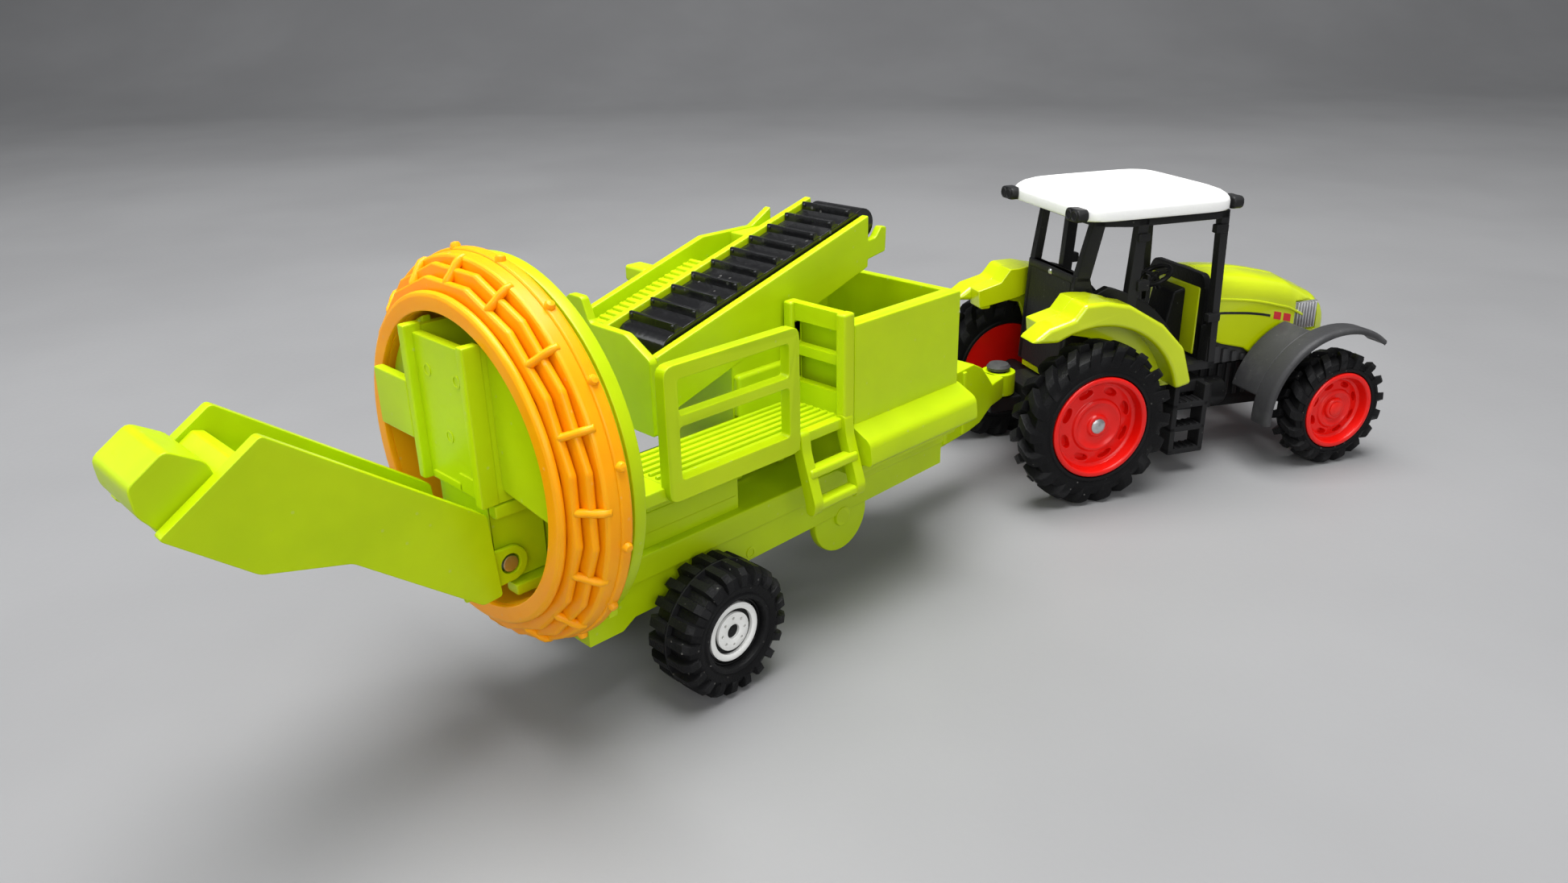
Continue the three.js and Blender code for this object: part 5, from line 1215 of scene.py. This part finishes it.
# ---------------------------------------------------------------- tractor
def tractor_underframe():
    """Dark base: spine, hitch tongue, axle housings, tanks and the two flights of steps."""
    half = 5.2
    top = FLOOR_Z - 0.3
    rear = 3.3
    front = FRONT_AXLE_X + 5.4
    ax = REAR_AXLE_X
    steps = (ax + ARCH_R + 1.8, ax + ARCH_R + 9.0)
    piece = Moulding()
    spine = [
        (rear, REAR_WHEEL_R - 2.4),
        (ax - 2.5, REAR_WHEEL_R - 4.4),
        (ax + 6, REAR_WHEEL_R - 5.0),
        (FRONT_AXLE_X - 8, FRONT_WHEEL_R - 2.4),
        (front, FRONT_WHEEL_R - 2.8),
        (front, top),
        (rear, top),
    ]
    bores = [
        rod("y", (ax, REAR_WHEEL_R), PIN_BORE_R, -14, 14, 20),
        rod("y", (FRONT_AXLE_X, FRONT_WHEEL_R), PIN_BORE_R, -14, 14, 20),
    ]
    piece.add(carved(drawn(spine, -half, half), *bores), 0.3)
    tongue = carved(box((-2.6, rear + 1), (-2.6, 2.6), (12.1, 14.7)), rod("z", (0, 0), 1.5, 0, 20, 24))
    piece.add(tongue, 0.3)
    reach = CASTING_HALF - 0.6
    tube = [(PIN_BORE_R, -reach), (2.4, -reach), (2.4, reach), (PIN_BORE_R, reach)]
    piece.add(revolved("y", (ax, REAR_WHEEL_R), tube, 32), 0.2)
    piece.add(box((ax + 13, steps[1] + 0.8), (-CAB_HALF, CAB_HALF), (top - 2.2, top)), 0.3)
    beam_half = HALF_TRACK - FRONT_TYRE_WIDTH - 0.8
    beam = box((FRONT_AXLE_X - 2.4, FRONT_AXLE_X + 2.4), (-beam_half, beam_half),
               (FRONT_WHEEL_R - 2.4, FRONT_WHEEL_R + 2.4))
    piece.add(carved(beam, rod("y", (FRONT_AXLE_X, FRONT_WHEEL_R), PIN_BORE_R, -20, 20, 20)), 0.5, 3)
    for side in (1, -1):
        ys = (side * (CAB_HALF - 0.6), side * (CAB_HALF + 2.6))
        for x in (steps[0], steps[1] - 1.1):
            piece.add(box((x, x + 1.1), ys, (top - 12.5, top)), 0.28)
        for drop in (12.8, 8.5, 4.1):
            piece.add(box(steps, ys, (top - drop, top - drop + 1.1)), 0.28)
            for i in range(4):
                x = steps[0] + 1.5 + i * 1.3
                piece.add(box((x, x + 0.5), (side * (CAB_HALF - 0.3), side * (CAB_HALF + 2.4)),
                              (top - drop + 0.8, top - drop + 1.3)), 0.1)
        tank = (side * (half + 1.6), FLOOR_Z - 4.6)
        x0 = FRONT_AXLE_X - GUARD_R - 7.9
        piece.add(rod("x", tank, 2.6, x0, x0 + 5.5, 32), 0.5, 3, 40)
        piece.add(box((x0 + 1.2, x0 + 2.0), (tank[0] - 2.8, tank[0] + 2.8),
                      (tank[1] - 2.2, tank[1] + 2.5)), 0.2)
        # Engine block ribs under the hood's raised edge
        for i in range(6):
            x = CAB_FRONT_X + 2.4 + i * 1.9
            piece.add(box((x, x + 0.9), (side * 4.6, side * 5.75), (top - 6.2, top + 0.1)), 0.2)
    piece.finished("tractor-underframe", "black", "tractor", TRACTOR, ["tractor_chassis"])
    engine = Moulding()
    for side in (1, -1):
        engine.add(box((CAB_FRONT_X + 1.4, CAB_FRONT_X + 12.6), (side * 5.6, side * (HOOD_HALF - 1.25)),
                       (FLOOR_Z + 0.1, FLOOR_Z + 5.6)), 0.3)
        for i in range(5):
            x = CAB_FRONT_X + 2.0 + i * 2.05
            height = FLOOR_Z + 4.9 - 0.32 * (x - CAB_FRONT_X)
            engine.add(box((x, x + 1.1), (side * 5.6, side * (HOOD_HALF - 0.55)),
                           (FLOOR_Z + 0.3, height)), 0.22)
    engine.finished("engine-side", "grey", "tractor", TRACTOR)


def hood_section(x):
    """The hood's half outline at x, from its foot up the cheek and over the crown."""
    stations = [
        (CAB_FRONT_X + 1.2, HOOD_TOP, HOOD_HALF, FLOOR_Z + 5.8),
        (CAB_FRONT_X + 5.0, HOOD_TOP - 0.25, HOOD_HALF, FLOOR_Z + 4.2),
        (CAB_FRONT_X + 10, HOOD_TOP - 0.8, HOOD_HALF, FLOOR_Z + 2.9),
        (CAB_FRONT_X + 13, HOOD_TOP - 1.35, HOOD_HALF, FLOOR_Z + 0.6),
        (CAB_FRONT_X + 19, HOOD_TOP - 2.8, HOOD_HALF, FLOOR_Z),
        (HOOD_FRONT_X - 7.4, HOOD_TOP - 4.4, HOOD_HALF - 0.05, FLOOR_Z),
        (HOOD_FRONT_X - 4.2, HOOD_TOP - 5.8, HOOD_HALF - 0.35, FLOOR_Z),
        (HOOD_FRONT_X - 2.2, HOOD_TOP - 7.4, HOOD_HALF - 1.0, FLOOR_Z + 0.2),
        (HOOD_FRONT_X - 0.9, HOOD_TOP - 9.4, HOOD_HALF - 2.1, FLOOR_Z + 0.8),
        (HOOD_FRONT_X - 0.1, HOOD_TOP - 12.0, HOOD_HALF - 3.6, FLOOR_Z + 2.0),
    ]
    for first, second in zip(stations, stations[1:]):
        if first[0] <= x <= second[0]:
            share = (x - first[0]) / (second[0] - first[0])
            return [a + (b - a) * share for a, b in zip(first[1:], second[1:])]
    return list(stations[-1][1:])


def hood():
    """The crowned hood as a smooth skin of cross sections, closed at the cab and at the nose."""
    start = CAB_FRONT_X + 1.2
    end = HOOD_FRONT_X - 0.1
    count = 46
    sections = []
    for i in range(count + 1):
        x = start + (end - start) * (1 - (1 - i / count) ** 1.35)
        top, half, foot = hood_section(x)
        crease = min(1.0, (top - foot) / 12.0)
        outline = [
            (half - 0.15, foot),
            (half, foot + 0.35),
            (half, (foot + top) * 0.5),
            (half - 0.05, top - 4.2 * crease),
            (half - 0.25, top - 3.0 * crease),
            (half - 0.75, top - 1.75 * crease),
            (half - 1.6, top - 0.9 * crease),
            (half - 2.9, top - 0.42 * crease),
            (max(half - 4.6, 0.9), top - 0.16 * crease),
            (0.45, top),
        ]
        loop = [(x, y, z) for y, z in outline] + [(x, -y, z) for y, z in reversed(outline)]
        sections.append(loop)
    return lofted(sections)


def mudguard(side):
    """One rear mudguard: the arched outer skirt, the wheel wall and the shelf behind the cab."""
    ax, az = REAR_AXLE_X, REAR_WHEEL_R
    upper = [
        (ax - ARCH_R + 4.0, az + ARCH_R - 1.4),
        (ax - 9.2, az + ARCH_R + 0.8),
        (ax - 4.8, az + ARCH_R + 1.9),
        (ax - 3.0, az + ARCH_R + 4.2),
        (ax + 1.0, az + ARCH_R + 4.2),
        (ax + 5.5, az + ARCH_R + 3.2),
        (ax + 12.3, az + ARCH_R - 0.8),
        (ax + 16.9, az + ARCH_R - 5.4),
        (ax + ARCH_R + 2.8, az + 4.4),
    ]
    arch = arc((ax, az), ARCH_R, 13, 117, 26)
    outer = HALF_TRACK - 2.9
    shapes = []
    # The skirt swells outwards and its top rolls over
    shapes.append((drawn(upper + arch, *sorted((side * (CASTING_HALF - 1.0), side * outer))), 0.75, 4))
    wall = [
        (ax + 5.0, FLOOR_Z),
        (ax + 1.0, az + ARCH_R - 3.0),
        (ax - 5.0, az + ARCH_R - 1.6),
        (ax - 5.0, az + ARCH_R + 1.4),
        *arc((ax, az), ARCH_R + 2.0, 100, 12, 14),
        (ax + ARCH_R + 1.2, FLOOR_Z),
    ]
    shapes.append((drawn(wall, *sorted((side * (CASTING_HALF - 1.0), side * CASTING_HALF))), 0.2, 2))

    def cab_side(x):
        return CAB_HALF - 3.9 * (ax + 8.2 - x) / 9.4 + 1.2

    shelf = [
        (ax - 8.8, az + ARCH_R - 2.4),
        (ax + 3.6, az + ARCH_R - 0.4),
        (ax + 3.6, az + ARCH_R + 3.6),
        (ax + 1.0, az + ARCH_R + 4.2),
        (ax - 3.0, az + ARCH_R + 4.2),
        (ax - 4.8, az + ARCH_R + 1.9),
        (ax - 9.2, az + ARCH_R + 0.8),
    ]
    plan = [
        (ax - 12, side * cab_side(ax - 1.2)),
        (ax - 1.2, side * cab_side(ax - 1.2)),
        (ax + 3.6, side * cab_side(ax + 3.6)),
        (ax + 3.6, side * (CASTING_HALF - 0.2)),
        (ax - 12, side * (CASTING_HALF - 0.2)),
    ]
    shaped = carved(drawn(shelf, -CASTING_HALF, CASTING_HALF), drawn(plan, 0, 70, "z"), operation="INTERSECT")
    shapes.append((shaped, 0.5, 3))
    return shapes


def casting():
    """The glossy enamelled casting: hood, floor plate and both mudguards."""
    piece = Moulding()
    pockets = [
        box((56.3, 61.7), (side * (HOOD_HALF - 1.0), side * (HOOD_HALF + 2)), (21.8, 27.6)) for side in (1, -1)
    ]
    piece.add(carved(hood(), *pockets), 0.12, 2, 50)
    piece.add(box((REAR_AXLE_X + 4.8, REAR_AXLE_X + ARCH_R), (-CASTING_HALF, CASTING_HALF),
                  (FLOOR_Z, FLOOR_Z + 1.2)), 0.25)
    piece.add(box((REAR_AXLE_X - 0.6, CAB_FRONT_X - 5), (-6.6, 6.6), (FLOOR_Z + 0.07, FLOOR_Z + 1.12)), 0.2)
    # Bulkhead that shows inside the cab's front frame
    bulk = (CAB_FRONT_X - 1.15, CAB_FRONT_X - 0.5)
    piece.add(box(bulk, (-7.0, 7.0), (CAB_FLOOR_Z + 1.4, HOOD_TOP - 2.2)), 0.3)
    for side in (1, -1):
        for shape, rounding, segments in mudguard(side):
            piece.add(shape, rounding, segments)
        # Raised hood line and a small tail-lamp lug behind each mudguard
        sections = []
        for i in range(13):
            x = CAB_FRONT_X + 2.6 + i * 1.62
            top, half, _ = hood_section(x)
            z = top - 4.6 - 0.05 * i
            y = side * (half + 0.16)
            inner = side * (half - 0.3)
            sections.append([(x, inner, z - 0.35), (x, y, z - 0.2), (x, y, z + 0.2), (x, inner, z + 0.35)])
        piece.add(lofted(sections), 0.08, 2, 30)
        ys = (side * 8.7, side * 11.9)
        piece.add(box((0.6, 2.6), ys, (27.6, 29.4)), 0.4, 3)
    # A shallow spine down the hood
    sections = []
    for i in range(15):
        x = CAB_FRONT_X + 2.0 + i * 1.7
        top = hood_section(x)[0]
        sections.append([(x, -1.5, top - 0.3), (x, -0.8, top + 0.1), (x, 0.8, top + 0.1), (x, 1.5, top - 0.3)])
    piece.add(lofted(sections), 0.08, 2, 30)
    piece.finished("tractor-casting", "paint", "tractor", TRACTOR, ["tractor_casting"], 44)
    for word, side in SIDES:
        lamp = Moulding()
        ys = (side * (HOOD_HALF - 0.9), side * (HOOD_HALF - 0.42))
        lamp.add(box((56.6, 61.4), ys, (22.1, 27.3)), 0.15)
        for i in range(7):
            x = 57.1 + i * 0.64
            lamp.add(rod("z", (x, side * (HOOD_HALF - 0.24)), 0.23, 22.3, 27.1, 12), 0.05)
        lamp.finished(f"headlight-{word}", "silver", "tractor", TRACTOR, [f"headlight_{word}"])


def hood_print():
    """Plain painted bars where the hood carries its decals: a dark stripe and a short red one."""
    for word, side in SIDES:
        for name, finish, spans in (
            ("hood-stripe", "ink_dark", [(39.2, 50.8, 6.9, 7.35)]),
            ("hood-dash", "ink_red", [(51.6, 53.2, 6.2, 7.6), (53.8, 55.4, 6.2, 7.6)]),
        ):
            piece = Moulding()
            for x0, x1, above, below in spans:
                sections = []
                for i in range(9):
                    x = x0 + (x1 - x0) * i / 8
                    top, half, _ = hood_section(x)
                    skin = side * (half + 0.04)
                    under = side * (half - 0.3)
                    sections.append([(x, under, top - below), (x, skin, top - below),
                                     (x, skin, top - above), (x, under, top - above)])
                piece.add(lofted(sections), 0)
            piece.finished(f"{name}-{word}", finish, "tractor", TRACTOR)


def cab():
    """The black cab: tapered sides with their posts, rear wall, floor, cowl frame and console."""
    floor = CAB_FLOOR_Z
    half = CAB_HALF
    rear_half = CAB_REAR_HALF
    post = 1.5
    ax, az = REAR_AXLE_X, REAR_WHEEL_R
    belt_z = az + ARCH_R + 1.6
    sill_z = belt_z + 4.8
    top = ROOF_Z[0] - 0.3
    rear = ax - 1.2
    sill = ax + 0.2
    rear_top = ax + 2.4
    middle_x = ax + 8.2
    front = CAB_FRONT_X + 0.7
    reach = (-half - 1, half + 1)
    piece = Moulding()
    panel = [
        (rear, floor),
        (sill, sill_z),
        (sill + 2.2, sill_z),
        (sill + 3.0, belt_z + 1.6),
        *arc((ax, az), ARCH_R + 5.3, 76, 14, 14),
        (ax + ARCH_R + 4.6, floor),
    ]
    parts = [
        [(sill, sill_z - 1), (sill + 2.2, sill_z - 1), (rear_top + 1.9, top), (rear_top, top)],
        [(middle_x - 0.2, belt_z - 3), (middle_x + 1.8, belt_z - 3),
         (middle_x + 3.0, top), (middle_x + 1.0, top)],
        [(CAB_FRONT_X - 0.6, floor), (front, floor), (CAB_FRONT_X - 0.2, top), (CAB_FRONT_X - 1.8, top)],
        panel,
        [(ax + ARCH_R, floor), (front, floor), (front, floor + 1.2), (ax + ARCH_R, floor + 1.2)],
        [(rear_top, top - 1.5), (CAB_FRONT_X - 0.2, top - 1.5), (CAB_FRONT_X - 0.2, top), (rear_top, top)],
    ]
    for side in (1, -1):
        plan = [
            (rear, side * (rear_half - post)),
            (middle_x, side * (half - post)),
            (front, side * (half - post)),
            (front, side * half),
            (middle_x, side * half),
            (rear, side * rear_half),
        ]
        for part in parts:
            tool = drawn(plan, floor, top, "z")
            piece.add(carved(drawn(part, *reach), tool, operation="INTERSECT"), 0.22)
        # Hinge tabs and the door's handle
        y = side * half
        for x, z in ((CAB_FRONT_X - 1.3, 42.8), (CAB_FRONT_X - 0.6, 27.2)):
            piece.add(box((x - 1.6, x + 0.9), (y - side * 0.8, y + side * 0.55), (z, z + 1.5)), 0.25)
        piece.add(box((middle_x + 1.6, middle_x + 3.9), (y - side * 0.9, y + side * 0.6), (34.2, 36.0)), 0.3)
        piece.add(box((middle_x + 0.9, middle_x + 3.2), (y - side * 1.0, y + side * 0.5), (42.6, 44.0)), 0.3)
    wall = [(rear, floor), (rear + 1.4, floor), (sill + 1.4, sill_z), (sill, sill_z)]
    piece.add(drawn(wall, 0.2 - rear_half, rear_half - 0.2), 0.24)
    # Raised panel and ledge on the rear wall
    raised = [
        (rear + 0.25, floor + 6), (rear + 0.9, floor + 6), (sill + 0.8, sill_z - 3), (sill - 0.28, sill_z - 3),
    ]
    piece.add(drawn(raised, -5.2, 5.2), 0.24)
    piece.add(box((sill - 0.25, sill + 1.6), (-rear_half + 0.1, rear_half - 0.1), (sill_z - 1.3, sill_z)), 0.25)
    plan = [
        (rear + 0.2, 0.4 - rear_half), (middle_x, 0.4 - half), (front, 0.4 - half),
        (front, half - 0.4), (middle_x, half - 0.4), (rear + 0.2, rear_half - 0.4),
    ]
    piece.add(drawn(plan, floor, floor + 0.9, "z"), 0.2)
    piece.add(box((rear_top, rear_top + 1.6), (-rear_half - 0.8, rear_half + 0.8), (top - 1.5, top)), 0.25)
    piece.add(box((CAB_FRONT_X - 1.8, CAB_FRONT_X - 0.2), (0.2 - half, half - 0.2), (top - 1.5, top)), 0.25)
    dash = CAB_FRONT_X - 0.9
    piece.add(box((dash, dash + 1.4), (0.4 - half, half - 0.4), (floor, FLOOR_Z + 9)), 0.25)
    cowl_half = half - 2.5
    cowl_top = HOOD_TOP + 0.2
    cowl = softened([
        (-cowl_half, floor), (cowl_half, floor), (cowl_half, cowl_top - 2.6),
        (cowl_half - 1.4, cowl_top), (1.4 - cowl_half, cowl_top), (-cowl_half, cowl_top - 2.6),
    ], 1.0)
    piece.add(drawn(cowl, dash, dash + 1.4, "x"), 0.28)
    console = [
        (dash - 5, floor), (dash + 0.4, floor), (dash + 0.4, cowl_top - 3.2), (dash - 2.6, cowl_top - 4.0),
    ]
    piece.add(drawn(console, -3.2, 3.2), 0.45, 3)
    for y in (-5.2, 5.4):
        piece.add(rod("z", (26.5, y), 0.45, floor + 0.5, floor + 9.5, 14), 0.2)
        piece.add(rod("z", (26.5, y), 0.85, floor + 8.6, floor + 10.4, 18), 0.4, 3, 40)
    piece.finished("cab-frame", "black", "tractor", TRACTOR, ["cab_frame"])
    rivet = Moulding()
    rivet.add(revolved("x", (0.0, 36.0), [(0.02, sill - 0.42), (0.35, sill - 0.42), (0.6, sill - 0.2),
                                          (0.6, sill + 0.4), (0.02, sill + 0.4)], 24), 0)
    rivet.finished("cab-rivet", "steel", "tractor", TRACTOR)


def roof():
    """The white roof: a crowned shell, rounded in plan, that turns down to a thin lip."""
    x0, x1 = ROOF_X
    low, high = ROOF_Z
    cx, cy = (x0 + x1) / 2, 0.0
    half_x, half_y = (x1 - x0) / 2, ROOF_HALF
    rings = []
    levels = [
        (0.985, low), (1.0, low + 0.3), (1.0, low + 1.5), (0.99, low + 2.0), (0.965, low + 2.5),
        (0.92, low + 3.0), (0.84, low + 3.45), (0.70, low + 3.85), (0.45, low + 4.15), (0.2, high - 0.1),
    ]
    for scale, z in levels:
        loop = []
        for i in range(72):
            turn = math.tau * i / 72
            c, s = math.cos(turn), math.sin(turn)
            power = 0.26 + 0.18 * (1 - scale)
            x = cx + math.copysign(abs(c) ** power, c) * half_x * scale
            y = cy + math.copysign(abs(s) ** power, s) * half_y * scale
            loop.append((x, y, z))
        rings.append(loop)
    piece = Moulding()
    piece.add(lofted(rings), 0.05, 1, 60)
    piece.finished("roof", "white_roof", "tractor", TRACTOR, ["roof"], 50)
    for word, side in SIDES:
        for end in ("rear", "front"):
            xs = (x0 - 1.3, x0 + 0.8) if end == "rear" else (x1 - 0.8, x1 + 1.3)
            ys = sorted((side * (half_y - 4.7), side * (half_y - 0.6)))
            section = softened([(ys[0], low), (ys[1], low), (ys[1], low + 2.1), (ys[0], low + 2.1)], 1.0, 4)
            lamp = Moulding()
            lamp.add(drawn(section, *xs, "x"), 0.5, 3)
            face = xs[0] if end == "rear" else xs[1]
            out = -1 if end == "rear" else 1
            for y in (ys[0] + 1.2, ys[1] - 1.2):
                profile = [(0.45, face - out * 0.4), (0.95, face - out * 0.4), (0.95, face + out * 0.0),
                           (0.8, face + out * 0.12), (0.45, face - out * 0.1)]
                lamp.add(revolved("x", (y, low + 1.05), profile, 22), 0)
            lamp.finished(f"roof-lamp-{end}-{word}", "black", "tractor", TRACTOR, [f"roof_lamp_{end}_{word}"])


def seat_and_wheel():
    floor = CAB_FLOOR_Z + 1.2
    back = REAR_AXLE_X + 3.2
    outline = softened([
        (back, floor), (back + 7.4, floor), (back + 8.2, floor + 6.4), (back + 7.6, floor + 7.6),
        (back + 2.6, floor + 7.2), (back + 1.2, floor + 16.0),
        (back - 0.6, floor + 16.4), (back - 0.8, floor + 6.0),
    ], 0.8)
    piece = Moulding()
    piece.add(drawn(outline, -3.8, 3.8), 0.5, 3)
    for y in (-3.3, 3.3):
        piece.add(box((back + 2.4, back + 7.4), (y - 0.5, y + 0.5), (floor + 7.2, floor + 8.2)), 0.3)
    for z in (9.0, 10.8, 12.6):
        piece.add(box((back + 0.8, back + 2.2), (-3.0, 3.0), (floor + z, floor + z + 0.5)), 0.2)
    piece.finished("seat", "black", "tractor", TRACTOR, ["seat"])
    wheel = Moulding()
    tilt = Matrix.Rotation(-math.radians(28), 4, "Y")
    loops = []
    for i in range(40):
        turn = math.tau * i / 40
        loop = []
        for step in range(10):
            angle = math.tau * step / 10
            reach = 2.9 + 0.46 * math.cos(angle)
            loop.append((reach * math.cos(turn), reach * math.sin(turn), 0.46 * math.sin(angle)))
        loops.append(loop)
    wheel.add(lofted(loops, closed=True), 0)
    wheel.add(rod("z", (0, 0), 0.8, -0.5, 0.5, 20), 0.2)
    wheel.add(rod("z", (0, 0), 0.6, -2.7, 0, 18), 0.1)
    for i in range(3):
        spoke = box((0.3, 2.8), (-0.32, 0.32), (-0.28, 0.28))
        wheel.add(spoke, 0.12, turn=Matrix.Rotation(math.pi / 2 + math.tau * i / 3, 4, "Z"))
    place = at(TRACTOR, CAB_FRONT_X - 5.6, 0, FLOOR_Z + 16.2) @ tilt
    wheel.finished("steering-wheel", "black", "tractor", place, ["steering_wheel"])


def front_guards():
    """Thin arched guards over the front wheels, on stays from the base."""
    hub = (FRONT_AXLE_X, FRONT_WHEEL_R)
    for word, side in SIDES:
        piece = Moulding()
        y0, y1 = HALF_TRACK - FRONT_TYRE_WIDTH + 1.0, HALF_TRACK - 1.0
        # Out over the top from the inner edge, and back underneath
        profile = [
            (y0, 0.75), (y0 + 0.5, 0.95), (y1 - 0.9, 1.0), (y1 - 0.25, 0.8), (y1, 0.45),
            (y1, -0.15), (y1 - 0.6, 0.0), (y0, 0.0),
        ]
        count = 44
        sections = []
        for i in range(count + 1):
            angle = math.radians(52 + 134 * i / count)
            c, s = math.cos(angle), math.sin(angle)
            sections.append([
                (hub[0] + (GUARD_R + r) * c, side * y, hub[1] + (GUARD_R + r) * s) for y, r in profile
            ])
        piece.add(lofted(sections), 0.12, 2, 40)
        stay = arc(hub, GUARD_R + 0.9, 108, 168, 12) + arc(hub, GUARD_R - 2.4, 168, 108, 12)
        inner = sorted((side * (HOOD_HALF + 0.6), side * (HALF_TRACK - FRONT_TYRE_WIDTH + 1.3)))
        piece.add(drawn(stay, *inner), 0.35, 3)
        piece.finished(f"front-guard-{word}", "grey", "tractor", TRACTOR, [f"front_guard_{word}"])


def pin():
    low, high = EYE_Z
    piece = Moulding()
    piece.add(revolved("z", (0, 0), [
        (0.02, low - 3.2), (0.9, low - 3.2), (1.2, low - 2.8), (1.2, high + 0.3), (2.0, high + 0.3),
        (2.1, high + 0.8), (1.7, high + 1.3), (0.6, high + 1.5), (0.02, high + 1.5),
    ], 32), 0)
    piece.finished("hitch-pin", "grey", "tractor", TRACTOR, ["hitch_pin"])


# ---------------------------------------------------------------- table, lamps and camera
def table():
    """A plain pale table that runs up into a backdrop."""
    shape = bmesh.new()
    profile = [(-1.1, 0.0), (0.62, 0.0)]
    for i in range(1, 13):
        turn = math.radians(90 * i / 12)
        profile.append((0.62 + 0.35 * math.sin(turn), 0.35 * (1 - math.cos(turn))))
    profile.append((0.97, 1.3))
    rows = [[shape.verts.new((u, w, z)) for u, z in profile] for w in (-1.6, 1.6)]
    for i in range(len(profile) - 1):
        shape.faces.new((rows[0][i], rows[0][i + 1], rows[1][i + 1], rows[1][i]))
    mesh = bpy.data.meshes.new("table")
    shape.to_mesh(mesh)
    shape.free()
    for face in mesh.polygons:
        face.use_smooth = True
    top = bpy.data.objects.new("table", mesh)
    bpy.context.scene.collection.objects.link(top)
    top.rotation_euler = (0, 0, math.radians(45.3))
    finish = Finish("table_top", Specular_IOR_Level=0.35)
    clouds = finish.noise(6, 4, 0.6)
    grain = finish.noise(900, 3, 0.6)
    finish.colour(finish.mix(clouds.band(0.3, 0.7), linear(131, 131, 132), linear(139, 139, 140)))
    finish.rough(0.50 + grain * 0.12)
    finish.bump(grain, 0.00006, 0.3)
    mesh.materials.append(finish.material)


def lamp(name, place, target, size, watts, colour=(1, 1, 1)):
    light = bpy.data.lights.new(name, "AREA")
    light.shape = "RECTANGLE"
    light.size, light.size_y = size
    light.energy = watts
    light.color = colour
    made = bpy.data.objects.new(name, light)
    made.location = place
    made.rotation_euler = (Vector(target) - Vector(place)).to_track_quat("-Z", "Y").to_euler()
    bpy.context.scene.collection.objects.link(made)


def lamps():
    bpy.context.scene.view_settings.view_transform = "Standard"
    world = bpy.data.worlds.new("room")
    world.use_nodes = True
    sky = world.node_tree.nodes["Background"]
    sky.inputs["Color"].default_value = (0.94, 0.96, 1.0, 1)
    sky.inputs["Strength"].default_value = 0.34
    bpy.context.scene.world = world
    lamp("overhead", (-0.02, 0.02, 0.60), (0, 0, 0.02), (0.50, 0.40), 6.6)
    lamp("window", (-0.45, 0.38, 0.42), (0, 0, 0.03), (0.4, 0.4), 1.3, (0.96, 0.98, 1.0))
    lamp("fill", (-0.34, -0.46, 0.28), (-0.03, 0, 0.03), (0.5, 0.3), 1.5)


def camera():
    yaw, pitch, roll = (math.radians(turn) for turn in (45.3, 22.7, 1.1))
    forward = Vector((math.cos(pitch) * math.cos(yaw), math.cos(pitch) * math.sin(yaw), -math.sin(pitch)))
    right = Vector((math.sin(yaw), -math.cos(yaw), 0))
    down = forward.cross(right)
    across = right * math.cos(roll) + down * math.sin(roll)
    fall = down * math.cos(roll) - right * math.sin(roll)
    basis = Matrix((across, -fall, -forward)).transposed()
    lens = bpy.data.cameras.new("camera")
    lens.lens = 25.9
    lens.sensor_width = 36
    lens.clip_start = 0.005
    made = bpy.data.objects.new("camera", lens)
    made.matrix_world = Matrix.Translation(Vector((-125.72, -94.55, 85.0)) * MM) @ basis.to_4x4()
    bpy.context.scene.collection.objects.link(made)
    bpy.context.scene.camera = made


camera()
table()
lamps()
fit_wheels()
chassis()
hopper()
belt()
conveyor()
platform()
disc()
ring()
carrier()
arm()
tractor_underframe()
casting()
hood_print()
cab()
roof()
seat_and_wheel()
front_guards()
pin()
